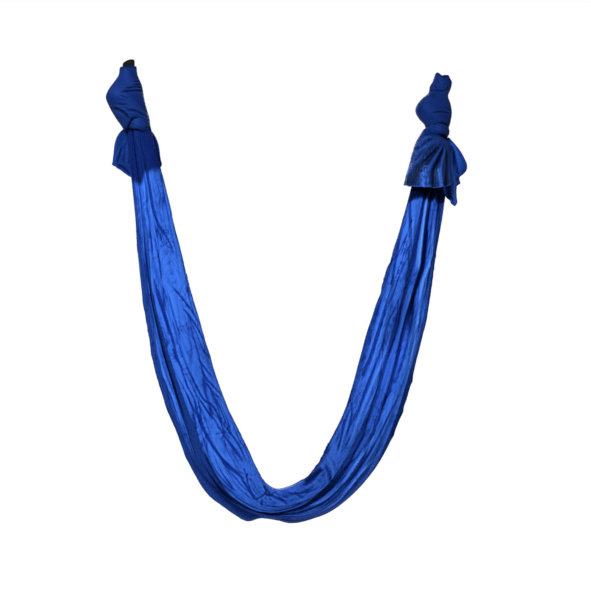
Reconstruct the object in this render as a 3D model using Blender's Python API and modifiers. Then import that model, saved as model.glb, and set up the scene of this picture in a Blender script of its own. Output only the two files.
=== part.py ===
"""Aerial yoga hammock: one wide cloth, gathered and knotted near each end, that hangs in a U
from two webbing loops.

X runs from the left hang point to the right one, Y points away from the viewer and Z points
up. The origin is midway between the two hang points, on the line that the hammock swings
about. All sizes are in metres.
"""

import math

import bmesh
import bpy
import numpy as np
from mathutils import Matrix, Vector

# Clearances
GAP = 0.0003  # between two pieces of cloth that touch

# Hang points, and the curve that the gathered cloth hangs in
HANG_SPACING = 1.104  # between the middles of the two webbing loops
HANG_DROP = 1.479  # from the loops' middles down to the middle of the seat
ROUTE_POWER = 2.49  # 2 would be a parabola; the loaded cloth is straighter at the sides
SEAT_SHIFT = -0.036  # the seat hangs a little towards the left end
SEAT_STEP = 0.016  # the back half of the seat hangs this much lower than the front half

# Webbing loops
LOOP_RADIUS = 0.022  # outer
WEBBING_THICKNESS = 0.003
WEBBING_WIDTH = 0.038
LOOP_SIDES = 24  # an even number, so that the loop's crown holds one flat facet

# Necks: the cloth between each webbing loop and its knot
NECK_WIDTH = 0.059
NECK_DEPTH = 0.062
LEFT_NECK_TOP = -0.003  # the left loop stands out above its cloth
RIGHT_NECK_TOP = 0.019  # the right loop is hidden inside a collar of cloth
NECK_BOTTOM = -0.078
NECK_SIDES = 32

# Knots
LEFT_KNOT_SHIFT = -0.005  # sideways from the hang point
RIGHT_KNOT_SHIFT = -0.034
LEFT_KNOT_LEAN = math.radians(20)  # its lower end leans towards the right
RIGHT_KNOT_LEAN = math.radians(4)
KNOT_WIDTH = 0.122
KNOT_DEPTH = 0.108
KNOT_HEIGHT = 0.142
KNOT_MIDDLE = -0.116  # height
KNOT_SIDES = 32
KNOT_RINGS = 20

STEM_WIDTH = 0.052  # the knot's lower end, inside its wrap turn
STEM_DEPTH = 0.046

# Wrap turns: the lowest turn of each knot, round its stem
WRAP_RADIUS = 0.013  # of the rolled cloth
WRAP_BITE = 0.005  # how deep the turn presses into the stem
WRAP_TILT = math.radians(20)  # down towards +X
WRAP_POINTS = 28

# Sling: width lies in the plane of the U, depth lies along Y
WAIST_HEIGHT = -0.212
WAIST_WIDTH = 0.076
WAIST_DEPTH = 0.064
STRAND_WIDTH = 0.188
STRAND_DEPTH = 0.104
LEFT_FULL_AT = 0.80  # along the cloth from the waist to where the strand has its full width
RIGHT_FULL_AT = 0.62
SEAT_REACH = 0.36  # along the cloth from the middle of the seat to where the strands begin
SEAT_WIDTH = 0.106
SEAT_DEPTH = 0.176
SECTION_POINTS = 16  # round the outer side of a half section
STATION_STEP = 0.05  # along the cloth
SECTION_POWER = 2.4  # 2 would be a half ellipse
ROUTE_SAMPLES = 1201

# Front half: it opens about a line just behind its front, at the waist
OPEN_AXIS_Y = -0.018
OPEN_ANGLE = math.radians(40)
OPEN_CLEARANCE = math.radians(2)

# Tails: the free ends of the cloth, under the knots
TAIL_THICKNESS = 0.008
TAIL_DROP = 0.030  # from the waist down to a tail's top edge
TAIL_TOP_WIDTH = 0.072
TAIL_LEAN = math.radians(10)  # a tail hangs away from its strand
TAIL_FOLDS = 3
TAIL_FOLD_DEPTH = 0.006
TAIL_COLUMNS = 30
TAIL_ROWS = 8
LEFT_TAIL_LEFT = 0.084  # how far the hem reaches to each side of the waist
LEFT_TAIL_RIGHT = 0.084
LEFT_TAIL_LENGTH_LEFT = 0.112  # from the tail's top edge down to each end of the hem
LEFT_TAIL_LENGTH_RIGHT = 0.150
SKIRT_LEFT = 0.118
SKIRT_RIGHT = 0.026
SKIRT_LENGTH_LEFT = 0.134
SKIRT_LENGTH_RIGHT = 0.142
FLAP_TOP_WIDTH = 0.020
FLAP_REACH = 0.084  # from the flap's inner edge out to its corner
FLAP_CORNER_DROP = 0.085  # from the waist
FLAP_STEP = 0.036  # from its corner back in to the narrow end
FLAP_STEP_DROP = 0.145
FLAP_LENGTH = 0.232
FLAP_TIP_WIDTH = 0.016
FLAP_THICKNESS = 0.012

# Colours, linear
CLOTH_BLUE = (0.022, 0.090, 0.600)
KNOT_BLUE = (0.012, 0.045, 0.300)
WEBBING_BLACK = (0.006, 0.006, 0.010)


def clear_scene():
    """Remove whatever the file holds at the start."""
    for thing in list(bpy.data.objects):
        bpy.data.objects.remove(thing, do_unlink=True)


def new_collection(name):
    group = bpy.data.collections.new(name)
    bpy.context.scene.collection.children.link(group)
    return group


def finish(name, colour, roughness):
    """A plain surface, with the piece's own colour and roughness."""
    material = bpy.data.materials.new(name)
    material.use_nodes = True
    shader = material.node_tree.nodes["Principled BSDF"]
    shader.inputs["Base Color"].default_value = (*colour, 1.0)
    shader.inputs["Roughness"].default_value = roughness
    shader.inputs["Metallic"].default_value = 0.0
    return material


def add_piece(name, bm, group, colour, roughness=0.45):
    """Turn a bmesh into a named object of its own, with its own material."""
    bmesh.ops.recalc_face_normals(bm, faces=bm.faces)
    mesh = bpy.data.meshes.new(name)
    bm.to_mesh(mesh)
    bm.free()
    mesh.shade_smooth()
    mesh.set_sharp_from_angle(angle=math.radians(40))
    piece = bpy.data.objects.new(name, mesh)
    group.objects.link(piece)
    mesh.materials.append(finish(name, colour, roughness))
    return piece


def add_cutter(name, bm, group):
    """An object that only shapes another one."""
    bmesh.ops.recalc_face_normals(bm, faces=bm.faces)
    mesh = bpy.data.meshes.new(name)
    bm.to_mesh(mesh)
    bm.free()
    cutter = bpy.data.objects.new(name, mesh)
    group.objects.link(cutter)
    cutter.hide_render = True
    cutter.display_type = "WIRE"
    return cutter


def combine(piece, other, operation):
    """Cut another object from a piece, or join it to the piece."""
    modifier = piece.modifiers.new(other.name, "BOOLEAN")
    modifier.operation = operation
    modifier.object = other
    modifier.solver = "EXACT"


def hang_point(side):
    """The middle of a webbing loop; side is -1 on the left and 1 on the right."""
    return Vector((side * HANG_SPACING / 2, 0.0, 0.0))


class Route:
    """The curve that one half of the gathered cloth hangs in, from loop to loop."""

    def __init__(self, drop):
        half = HANG_SPACING / 2
        level = np.linspace(-half, half, ROUTE_SAMPLES)
        share = np.abs(level) / half
        self.z = -drop * (1 - share**ROUTE_POWER)
        self.x = level + SEAT_SHIFT * (1 - share) ** 2
        steps = np.hypot(np.diff(self.x), np.diff(self.z))
        length = np.concatenate([[0.0], np.cumsum(steps)])
        self.arc = length - length[ROUTE_SAMPLES // 2]

    def point(self, arc):
        """The place at a length along the cloth, counted from the seat to the right."""
        x = float(np.interp(arc, self.arc, self.x))
        z = float(np.interp(arc, self.arc, self.z))
        return Vector((x, 0.0, z))

    def waist(self, side):
        """How far the waist is from the seat, along the cloth to the left or the right."""
        half = self.arc * side >= 0
        height, arc = self.z[half], self.arc[half]
        return float(np.interp(WAIST_HEIGHT, height[::side], arc[::side]))

    def direction(self, arc):
        """The cloth's direction there, towards the right."""
        nudge = 0.002
        return (self.point(arc + nudge) - self.point(arc - nudge)).normalized()


def bundle_size(route, arc):
    """Width and depth of the gathered cloth at a length along it."""
    side = -1 if arc < 0 else 1
    from_waist = max(0.0, abs(route.waist(side)) - abs(arc))
    spread = min(1.0, from_waist / (LEFT_FULL_AT if side < 0 else RIGHT_FULL_AT))
    width = WAIST_WIDTH + (STRAND_WIDTH - WAIST_WIDTH) * spread
    depth = WAIST_DEPTH + (STRAND_DEPTH - WAIST_DEPTH) * spread
    bend = max(0.0, 1.0 - abs(arc) / SEAT_REACH)
    bend = bend * bend * (3 - 2 * bend)
    width += (SEAT_WIDTH - width) * bend
    depth += (SEAT_DEPTH - depth) * bend
    return width, depth


def half_section(route, arc, facing):
    """The outline of one half of the cloth: flat in the middle plane, round outside."""
    width, depth = bundle_size(route, arc)
    middle = route.point(arc)
    along = route.direction(arc)
    across = Vector((-along.z, 0.0, along.x))
    outline = []
    for i in range(SECTION_POINTS + 1):
        turn = math.pi * i / SECTION_POINTS
        side = math.copysign(abs(math.cos(turn)) ** (2 / SECTION_POWER), math.cos(turn))
        out = math.sin(turn) ** (2 / SECTION_POWER)
        place = middle + across * (side * width / 2)
        place.y = facing * (GAP / 2 + out * (depth - GAP) / 2)
        outline.append(place)
    return outline


def loft(outlines):
    """Skin a row of outlines that have the same number of points, with a cap at each end."""
    bm = bmesh.new()
    rings = [[bm.verts.new(place) for place in outline] for outline in outlines]
    for first, second in zip(rings, rings[1:]):
        for i in range(len(first)):
            j = (i + 1) % len(first)
            bm.faces.new((first[i], first[j], second[j], second[i]))
    bm.faces.new(rings[0])
    bm.faces.new(list(reversed(rings[-1])))
    return bm


def stations(start, end):
    """Lengths along the cloth, evenly spaced from start to end."""
    count = max(2, round(abs(end - start) / STATION_STEP))
    return [start + (end - start) * i / count for i in range(count + 1)]


def slice_off(bm, place, outward):
    """Cut a closed solid with a plane, drop what lies on the outward side, and cap it."""
    bmesh.ops.bisect_plane(
        bm,
        geom=bm.verts[:] + bm.edges[:] + bm.faces[:],
        plane_co=place,
        plane_no=outward,
        clear_outer=True,
    )
    open_edges = [edge for edge in bm.edges if edge.is_boundary]
    bmesh.ops.holes_fill(bm, edges=open_edges, sides=0)


def strand(name, route, side, facing, group):
    """One half of the cloth between a waist and the seat."""
    lengths = stations(route.waist(side) + side * STATION_STEP, side * (SEAT_REACH + GAP))
    bm = loft([half_section(route, arc, facing) for arc in lengths])
    slice_off(bm, Vector((0, 0, WAIST_HEIGHT - GAP)), Vector((0, 0, 1)))
    if facing < 0:
        # the shoulder in front of the opening line, which turns up as the front half opens
        slope = OPEN_ANGLE + OPEN_CLEARANCE
        hinge = Vector((0, OPEN_AXIS_Y, WAIST_HEIGHT - GAP))
        slice_off(bm, hinge, Vector((0, -math.sin(slope), math.cos(slope))))
    return add_piece(name, bm, group, CLOTH_BLUE)


def seat(name, route, facing, group):
    """One half of the cloth at the bottom of the U, where a person sits."""
    lengths = stations(-SEAT_REACH, SEAT_REACH)
    bm = loft([half_section(route, arc, facing) for arc in lengths])
    return add_piece(name, bm, group, CLOTH_BLUE)


def cylinder(radius_x, radius_y, low, high, sides):
    """An upright bar with an elliptical section, in the middle of X and Y."""
    bm = bmesh.new()
    bmesh.ops.create_cone(
        bm,
        cap_ends=True,
        segments=sides,
        radius1=1.0,
        radius2=1.0,
        depth=high - low,
        matrix=Matrix.Translation((0, 0, (low + high) / 2)),
    )
    bmesh.ops.scale(bm, vec=(radius_x, radius_y, 1.0), verts=bm.verts)
    return bm


def hang_loop(name, side, group):
    """A band of webbing sewn into a ring round the swing line."""
    inner = LOOP_RADIUS - WEBBING_THICKNESS
    half = WEBBING_WIDTH / 2
    bm = bmesh.new()
    corners = [(-half, inner), (half, inner), (half, LOOP_RADIUS), (-half, LOOP_RADIUS)]
    profile = [bm.verts.new((x, 0.0, z)) for x, z in corners]
    for i in range(len(profile)):
        bm.edges.new((profile[i], profile[(i + 1) % len(profile)]))
    half_step = math.pi / LOOP_SIDES
    bmesh.ops.rotate(bm, verts=bm.verts, matrix=Matrix.Rotation(half_step, 3, "X"))
    bmesh.ops.spin(
        bm,
        geom=bm.verts[:] + bm.edges[:],
        cent=(0, 0, 0),
        axis=(1, 0, 0),
        angle=2 * math.pi,
        steps=LOOP_SIDES,
        use_merge=True,
    )
    loop = add_piece(name, bm, group, WEBBING_BLACK, roughness=0.75)
    loop.location = hang_point(side)
    return loop


def neck(name, side, top, group, cutters):
    """The cloth between a webbing loop and its knot, with a saddle for the loop."""
    bm = cylinder(NECK_WIDTH / 2, NECK_DEPTH / 2, NECK_BOTTOM, top, NECK_SIDES)
    piece = add_piece(name, bm, group, KNOT_BLUE)
    piece.location = hang_point(side)
    sides = 2 * LOOP_SIDES
    radius = (LOOP_RADIUS + GAP) / math.cos(math.pi / sides)
    bm = cylinder(radius, radius, -NECK_WIDTH, NECK_WIDTH, sides)
    turn = Matrix.Rotation(math.pi / 2, 3, "Y")
    bmesh.ops.rotate(bm, verts=bm.verts, matrix=turn)
    saddle = add_cutter(name + "_saddle", bm, cutters)
    saddle.location = hang_point(side)
    combine(piece, saddle, "DIFFERENCE")
    return piece


def wrap_reach():
    """Half the length and half the width of a wrap turn's path."""
    stretch = 1 / math.cos(WRAP_TILT)
    along = (STEM_WIDTH / 2 + WRAP_RADIUS - WRAP_BITE) * stretch
    return along, STEM_DEPTH / 2 + WRAP_RADIUS - WRAP_BITE


def wrap_tube(radius):
    """The rolled cloth of a wrap turn, round the Z axis, tilted as it lies on the stem."""
    radius_x, radius_y = wrap_reach()
    curve = bpy.data.curves.new("wrap path", "CURVE")
    curve.dimensions = "3D"
    curve.bevel_depth = radius
    curve.bevel_resolution = 4
    spline = curve.splines.new("POLY")
    spline.points.add(WRAP_POINTS - 1)
    spline.use_cyclic_u = True
    for i, point in enumerate(spline.points):
        turn = 2 * math.pi * i / WRAP_POINTS
        flat = Vector((radius_x * math.cos(turn), radius_y * math.sin(turn), 0.0))
        tilted = Matrix.Rotation(WRAP_TILT, 3, "Y") @ flat
        point.co = (*tilted, 1.0)
    holder = bpy.data.objects.new("wrap path", curve)
    bpy.context.scene.collection.objects.link(holder)
    bpy.context.view_layer.update()
    evaluated = holder.evaluated_get(bpy.context.evaluated_depsgraph_get())
    mesh = bpy.data.meshes.new_from_object(evaluated)
    bm = bmesh.new()
    bm.from_mesh(mesh)
    bmesh.ops.remove_doubles(bm, verts=bm.verts, dist=1e-5)
    bpy.data.objects.remove(holder, do_unlink=True)
    return bm


def wrap_middle(side, route):
    """Where a wrap turn lies: its lowest point rests just above the waist."""
    drop = wrap_reach()[0] * math.sin(WRAP_TILT) + WRAP_RADIUS
    waist = route.point(route.waist(side))
    return Vector((waist.x, 0.0, waist.z + GAP + drop))


def knot(name, side, shift, lean, route, group, cutters):
    """The lump of the knot with the stem under it, shaped by its neck and its wrap turn."""
    bm = bmesh.new()
    bmesh.ops.create_uvsphere(bm, u_segments=KNOT_SIDES, v_segments=KNOT_RINGS, radius=0.5)
    bmesh.ops.scale(bm, vec=(KNOT_WIDTH, KNOT_DEPTH, KNOT_HEIGHT), verts=bm.verts)
    bmesh.ops.rotate(bm, verts=bm.verts, matrix=Matrix.Rotation(-lean, 3, "Y"))
    piece = add_piece(name, bm, group, KNOT_BLUE)
    piece.location = hang_point(side) + Vector((shift, 0, KNOT_MIDDLE))

    bm = cylinder(STEM_WIDTH / 2, STEM_DEPTH / 2, WAIST_HEIGHT, KNOT_MIDDLE, KNOT_SIDES)
    stem = add_cutter(name + "_stem", bm, cutters)
    stem.location = (route.point(route.waist(side)).x, 0, 0)
    combine(piece, stem, "UNION")

    radius_x = NECK_WIDTH / 2 + GAP
    radius_y = NECK_DEPTH / 2 + GAP
    bm = cylinder(radius_x, radius_y, NECK_BOTTOM - GAP, LOOP_RADIUS, NECK_SIDES)
    socket = add_cutter(name + "_socket", bm, cutters)
    socket.location = hang_point(side)
    combine(piece, socket, "DIFFERENCE")

    groove = add_cutter(name + "_groove", wrap_tube(WRAP_RADIUS + GAP), cutters)
    groove.location = wrap_middle(side, route)
    combine(piece, groove, "DIFFERENCE")
    return piece


def knot_wrap(name, side, route, group):
    """The lowest turn of a knot, a roll of cloth round its stem."""
    piece = add_piece(name, wrap_tube(WRAP_RADIUS), group, KNOT_BLUE)
    piece.location = wrap_middle(side, route)
    return piece


def tail_top(route, side, facing):
    """The middle of a tail's top edge, on the side where it touches the strand."""
    arc = route.waist(side) - side * TAIL_DROP
    place = route.point(arc)
    place.y = facing * (bundle_size(route, arc)[1] / 2 + GAP)
    return place


def tail(name, side, facing, reach, lengths, route, group):
    """A gathered free end of the cloth, which hangs from the waist and flares to its hem."""
    top = tail_top(route, side, facing)
    bm = bmesh.new()
    bmesh.ops.create_grid(
        bm, x_segments=TAIL_COLUMNS, y_segments=TAIL_ROWS, size=0.5, calc_uvs=False
    )
    for vertex in bm.verts:
        across = vertex.co.x + 0.5
        down = 0.5 - vertex.co.y
        top_x = TAIL_TOP_WIDTH * (across - 0.5)
        hem_x = -reach[0] + (reach[0] + reach[1]) * across
        length = lengths[0] + (lengths[1] - lengths[0]) * across
        lean = math.tan(TAIL_LEAN) * length * down
        fold = TAIL_FOLD_DEPTH * (1 - math.cos(2 * math.pi * TAIL_FOLDS * across)) * down
        vertex.co = (
            top.x + top_x + (hem_x - top_x) * down,
            top.y + facing * (lean + fold),
            top.z - length * down,
        )
    # the wall goes outwards only, so the inner side keeps its gap to the strand
    bmesh.ops.recalc_face_normals(bm, faces=bm.faces)
    outward = sum((face.normal.y for face in bm.faces), 0.0) * facing > 0
    if not outward:
        bmesh.ops.reverse_faces(bm, faces=bm.faces)
    mesh = bpy.data.meshes.new(name)
    bm.to_mesh(mesh)
    bm.free()
    mesh.shade_smooth()
    mesh.materials.append(finish(name, CLOTH_BLUE, 0.45))
    piece = bpy.data.objects.new(name, mesh)
    group.objects.link(piece)
    wall = piece.modifiers.new("wall", "SOLIDIFY")
    wall.thickness = TAIL_THICKNESS
    wall.offset = 1.0
    return piece


def flap(name, route, group):
    """The short free end at the outer side of the right strand."""
    arc = route.waist(1)
    level_width = bundle_size(route, arc)[0] / route.direction(arc).z
    inner = route.point(arc).x + level_width / 2 + GAP
    top = WAIST_HEIGHT - GAP
    outline = [
        (inner, top),
        (inner + FLAP_TOP_WIDTH, top),
        (inner + FLAP_REACH, WAIST_HEIGHT - FLAP_CORNER_DROP),
        (inner + FLAP_REACH - FLAP_STEP, WAIST_HEIGHT - FLAP_STEP_DROP),
        (inner + FLAP_REACH - FLAP_STEP, WAIST_HEIGHT - FLAP_LENGTH),
        (inner + FLAP_REACH - FLAP_STEP - FLAP_TIP_WIDTH, WAIST_HEIGHT - FLAP_LENGTH),
        (inner, WAIST_HEIGHT - FLAP_STEP_DROP),
    ]
    bm = bmesh.new()
    corners = [bm.verts.new((x, -FLAP_THICKNESS / 2, z)) for x, z in outline]
    face = bm.faces.new(corners)
    made = bmesh.ops.extrude_face_region(bm, geom=[face])["geom"]
    moved = [part for part in made if isinstance(part, bmesh.types.BMVert)]
    bmesh.ops.translate(bm, verts=moved, vec=(0, FLAP_THICKNESS, 0))
    return add_piece(name, bm, group, CLOTH_BLUE)


def main():
    clear_scene()
    parts = new_collection("aerial_yoga_hammock")
    cutters = new_collection("cutters")
    front = Route(HANG_DROP - SEAT_STEP / 2)
    back = Route(HANG_DROP + SEAT_STEP / 2)

    sides = (
        ("left", -1, LEFT_NECK_TOP, LEFT_KNOT_SHIFT, LEFT_KNOT_LEAN),
        ("right", 1, RIGHT_NECK_TOP, RIGHT_KNOT_SHIFT, RIGHT_KNOT_LEAN),
    )
    for word, side, neck_top, shift, lean in sides:
        hang_loop(word + "_hang_loop", side, parts)
        neck(word + "_neck", side, neck_top, parts, cutters)
        knot(word + "_knot", side, shift, lean, back, parts, cutters)
        knot_wrap(word + "_knot_wrap", side, back, parts)
        strand(word + "_strand_front", front, side, -1, parts)
        strand(word + "_strand_back", back, side, 1, parts)
    seat("seat_front", front, -1, parts)
    seat("seat_back", back, 1, parts)

    reach = (LEFT_TAIL_LEFT, LEFT_TAIL_RIGHT)
    lengths = (LEFT_TAIL_LENGTH_LEFT, LEFT_TAIL_LENGTH_RIGHT)
    tail("left_tail", -1, 1, reach, lengths, back, parts)
    reach = (SKIRT_LEFT, SKIRT_RIGHT)
    lengths = (SKIRT_LENGTH_LEFT, SKIRT_LENGTH_RIGHT)
    tail("right_tail_skirt", 1, -1, reach, lengths, front, parts)
    flap("right_tail_flap", back, parts)


main()
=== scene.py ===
# %% [markdown]
# # An aerial yoga hammock in royal blue satin tricot
#
# The hammock is one wide sheet of stretchy nylon, gathered lengthwise, knotted near each end
# and hung from two webbing loops. The CAD solids say where the cloth is and how it moves.
# This script dresses them: folded sheets for the sling, draped tails, wound knots and woven
# webbing, then a pale studio to see them in.

import math

import bmesh
import bpy
import numpy as np
from mathutils import Matrix, Vector


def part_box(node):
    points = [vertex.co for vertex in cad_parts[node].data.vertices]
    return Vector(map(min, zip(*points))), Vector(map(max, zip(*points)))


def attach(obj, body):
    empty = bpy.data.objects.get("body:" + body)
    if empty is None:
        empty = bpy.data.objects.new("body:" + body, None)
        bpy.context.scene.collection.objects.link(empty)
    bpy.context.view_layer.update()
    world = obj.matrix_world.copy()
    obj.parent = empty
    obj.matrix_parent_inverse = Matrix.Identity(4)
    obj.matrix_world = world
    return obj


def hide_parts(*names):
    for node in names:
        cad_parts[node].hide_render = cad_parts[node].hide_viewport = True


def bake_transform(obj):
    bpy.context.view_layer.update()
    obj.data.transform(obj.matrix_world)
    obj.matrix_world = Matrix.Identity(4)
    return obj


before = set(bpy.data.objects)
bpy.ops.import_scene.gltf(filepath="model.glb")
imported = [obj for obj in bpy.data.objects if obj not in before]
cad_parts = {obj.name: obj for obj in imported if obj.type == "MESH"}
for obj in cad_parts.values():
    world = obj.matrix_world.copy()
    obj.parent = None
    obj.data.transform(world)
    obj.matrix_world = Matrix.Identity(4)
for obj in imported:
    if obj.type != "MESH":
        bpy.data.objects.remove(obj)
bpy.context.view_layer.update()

# %% [markdown]
# ## Camera
#
# The viewer stands about four and a half metres away, a little to the left, and level with
# the lower half of the hammock, so the knots are seen slightly from below. A long lens keeps
# the two sides of the U nearly parallel.

# %% Camera
VIEW_DISTANCE = 4.6
VIEW_SIDE = math.radians(11.5)
EYE_HEIGHT = -1.116
AIM = Vector((0.022, 0.0, -0.766))
LENS = 82.4
SENSOR_WIDTH = 36.0


def put_in_scene(name, data):
    """A new object in the scene, which holds a mesh, a lamp or the camera."""
    made = bpy.data.objects.new(name, data)
    bpy.context.scene.collection.objects.link(made)
    return made


def place_and_turn(thing, place, target):
    """Put a camera or a lamp in its place and turn it to its target."""
    thing.location = place
    thing.rotation_euler = (target - place).to_track_quat("-Z", "Y").to_euler()


eye_x = AIM.x - VIEW_DISTANCE * math.sin(VIEW_SIDE)
eye_y = -VIEW_DISTANCE * math.cos(VIEW_SIDE)
camera = put_in_scene("camera", bpy.data.cameras.new("camera"))
camera.data.lens = LENS
camera.data.sensor_width = SENSOR_WIDTH
place_and_turn(camera, Vector((eye_x, eye_y, EYE_HEIGHT)), AIM)
bpy.context.scene.camera = camera
print("camera at", camera.location)

# %% [markdown]
# ## The line that the cloth hangs in
#
# Each half of the cloth hangs in a U between the loops. The curve is a power curve: a parabola
# has a power of 2, and a loaded sheet is straighter at its sides. The half widths and depths
# of the bundle grow from the knots to the strands, and at the seat the bundle turns narrow
# and deep, where the cloth is spread to sit in. These are the sizes of the solids.

# %% Hanging curve
HANG_DROP = 1.479
ROUTE_POWER = 2.49
SEAT_SHIFT = -0.036
SEAT_STEP = 0.016
WAIST = (-0.212, 0.076, 0.064)  # height, width, depth
STRAND = (0.188, 0.104)  # width, depth
SEAT = (0.106, 0.176)
FULL_AT_LEFT = 0.80  # along the cloth, from the waist to where the strand has its full size
FULL_AT_RIGHT = 0.62
SEAT_REACH = 0.36
KNOT_TAPER = 0.3  # how much narrower the cloth gets inside the knot
TAPER_LENGTH = 0.03  # over this length
HALF_POINTS = 2000  # of the curve, to each side of the middle

left_low, left_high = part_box("left_hang_loop")
right_low, right_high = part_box("right_hang_loop")
left_hang = (left_low + left_high) / 2
right_hang = (right_low + right_high) / 2
half_span = (right_hang.x - left_hang.x) / 2
print("hang points:", left_hang, right_hang)


def smooth(t):
    """From 0 to 1 with a soft start and end."""
    t = np.clip(t, 0.0, 1.0)
    return t * t * (3 - 2 * t)


class Route:
    """The curve of one half of the cloth, measured along from the middle of the seat."""

    def __init__(self, drop):
        level = np.linspace(-half_span, half_span, 2 * HALF_POINTS + 1)
        share = np.abs(level) / half_span
        self.z = -drop * (1 - share**ROUTE_POWER)
        self.x = level + SEAT_SHIFT * (1 - share) ** 2
        steps = np.hypot(np.diff(self.x), np.diff(self.z))
        self.arc = np.concatenate([[0.0], np.cumsum(steps)])
        self.arc -= self.arc[HALF_POINTS]
        left, right = slice(0, HALF_POINTS + 1), slice(HALF_POINTS, None)
        self.first = np.interp(-WAIST[0], -self.z[left], self.arc[left])
        self.last = np.interp(WAIST[0], self.z[right], self.arc[right])

    def place(self, arc):
        """Places on the curve, at lengths along it."""
        x = np.interp(arc, self.arc, self.x)
        z = np.interp(arc, self.arc, self.z)
        return np.stack([x, np.zeros_like(x), z], axis=-1)

    def across(self, arc):
        """The direction in the plane of the U that points to its inner side."""
        step = 0.004
        along = self.place(arc + step) - self.place(arc - step)
        along /= np.linalg.norm(along, axis=-1, keepdims=True)
        return np.stack([-along[..., 2], along[..., 1] * 0, along[..., 0]], axis=-1)

    def halves(self, arc):
        """Half the width and half the depth of the gathered cloth."""
        left = arc < 0
        waist = np.where(left, -self.first, self.last)
        from_waist = np.maximum(0.0, waist - np.abs(arc))
        spread = np.minimum(1.0, from_waist / np.where(left, FULL_AT_LEFT, FULL_AT_RIGHT))
        width = WAIST[1] + (STRAND[0] - WAIST[1]) * spread
        depth = WAIST[2] + (STRAND[1] - WAIST[2]) * spread
        bend = smooth(1.0 - np.abs(arc) / SEAT_REACH)
        width = width + (SEAT[0] - width) * bend
        depth = depth + (SEAT[1] - depth) * bend
        above = np.clip((np.abs(arc) - waist) / TAPER_LENGTH, 0.0, 1.0)
        taper = 1 - KNOT_TAPER * above
        return width / 2 * taper, depth / 2 * taper


front_route = Route(HANG_DROP - SEAT_STEP / 2)
back_route = Route(HANG_DROP + SEAT_STEP / 2)
print("cloth between the knots:", round(front_route.last - front_route.first, 3), "m")

# %% [markdown]
# ## Values along the cloth
#
# A gathered sheet is easiest to describe by its folds. A fold keeps its place in the sheet but
# wanders across the bundle from knot to knot, so each one is a smooth curve through a few
# keys. Places along the cloth are shares: 0 at the left knot, 0.5 near the seat's middle and
# 1 at the right knot.

# %% Keys and noise
def keyed(share, *keys):
    """A smooth curve through (share, value) keys."""
    at = np.array([key[0] for key in keys], float)
    value = np.array([key[1] for key in keys], float)
    slope = np.gradient(value, at)
    share = np.clip(share, at[0], at[-1])
    i = np.clip(np.searchsorted(at, share) - 1, 0, len(at) - 2)
    gap = at[i + 1] - at[i]
    t = (share - at[i]) / gap
    first = (1 + 2 * t) * (1 - t) ** 2 * value[i] + t * (1 - t) ** 2 * gap * slope[i]
    second = t * t * (3 - 2 * t) * value[i + 1] + t * t * (t - 1) * gap * slope[i + 1]
    return first + second


def through(*keys):
    """The curve through the keys, as a function of the share."""
    return lambda share: keyed(share, *keys)


def noise(x, y, seed):
    """Smooth gradient noise in two directions, between about -1 and 1."""
    x, y = np.broadcast_arrays(np.asarray(x, float), np.asarray(y, float))
    cell_x, cell_y = np.floor(x), np.floor(y)
    in_x, in_y = x - cell_x, y - cell_y

    def corner(step_x, step_y):
        mixed = (cell_x + step_x) * 127.1 + (cell_y + step_y) * 311.7 + seed * 74.7
        turn = np.modf(np.abs(np.sin(mixed) * 43758.5453))[0] * 2 * math.pi
        return np.cos(turn) * (in_x - step_x) + np.sin(turn) * (in_y - step_y)

    fade_x = in_x**3 * (in_x * (in_x * 6 - 15) + 10)
    fade_y = in_y**3 * (in_y * (in_y * 6 - 15) + 10)
    low = corner(0, 0) + (corner(1, 0) - corner(0, 0)) * fade_x
    high = corner(0, 1) + (corner(1, 1) - corner(0, 1)) * fade_x
    return 1.5 * (low + (high - low) * fade_y)


def crease(value, width):
    """1 on the lines where the noise passes zero, falling off to both sides."""
    return np.exp(-((value / width) ** 2))


# %% [markdown]
# ## Wrinkles
#
# Satin tricot under load shows three sizes of wrinkle: long furrows nearly in line with the
# pull, short slanting crinkles in patches, and a fine crumple where the cloth was bunched in
# the hand. Furrows are narrow valleys between broad faces, which is what the zero lines of a
# stretched noise give. The function works on the sheet's own coordinates, in metres.

# %% Wrinkle heights
BROAD_WAVE = 0.0032
CRUMPLE = 0.0010
LONG_FURROW = 0.0010
DEEPEST_FURROW = 0.0034  # comes on top where the patches of deep furrows are
SHORT_FURROW = 0.0024


def wrinkles(u, v, seed, strength):
    """Heights of the soft waves and of the sharp lines, for places across (u) and along (v)."""
    bend_u = u + 0.016 * noise(u / 0.11, v / 0.17, seed + 1) + 0.05 * v * noise(0.3, v / 0.9, seed + 9)
    broad = noise(bend_u / 0.060, v / 0.34, seed + 8)
    long_lines = noise(bend_u / 0.024, v / 0.21, seed + 2)
    deep = smooth(0.45 + 1.3 * noise(u / 0.08, v / 0.28, seed + 10))
    slant = 0.45 * noise(u / 0.20, v / 0.25, seed + 3)
    short_lines = noise((bend_u + slant * v) / 0.015, v / 0.065, seed + 4)
    patch = smooth(0.30 + 1.8 * noise(u / 0.07, v / 0.15, seed + 5))
    crumple = noise(u / 0.011, v / 0.017, seed + 6) + 0.6 * noise(u / 0.006, v / 0.008, seed + 7)
    soft = BROAD_WAVE * broad + CRUMPLE * (0.40 + patch) * crumple
    lines = -(LONG_FURROW + DEEPEST_FURROW * deep) * crease(long_lines, 0.12)
    lines = lines - SHORT_FURROW * patch * crease(short_lines, 0.16)
    return strength * soft, strength * lines


# %% [markdown]
# ### Furrows that the eye remembers
#
# Noise makes cloth that looks right anywhere, but a few furrows give this hammock its face:
# the fold that starts the dark gap, the long curve down to the seat, the three stars where the
# cloth was pinched, the dark stripes on the right. They are drawn one by one, as short lines
# of (place along, place across) points, and pressed in as valleys or raised as ridges.

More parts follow.
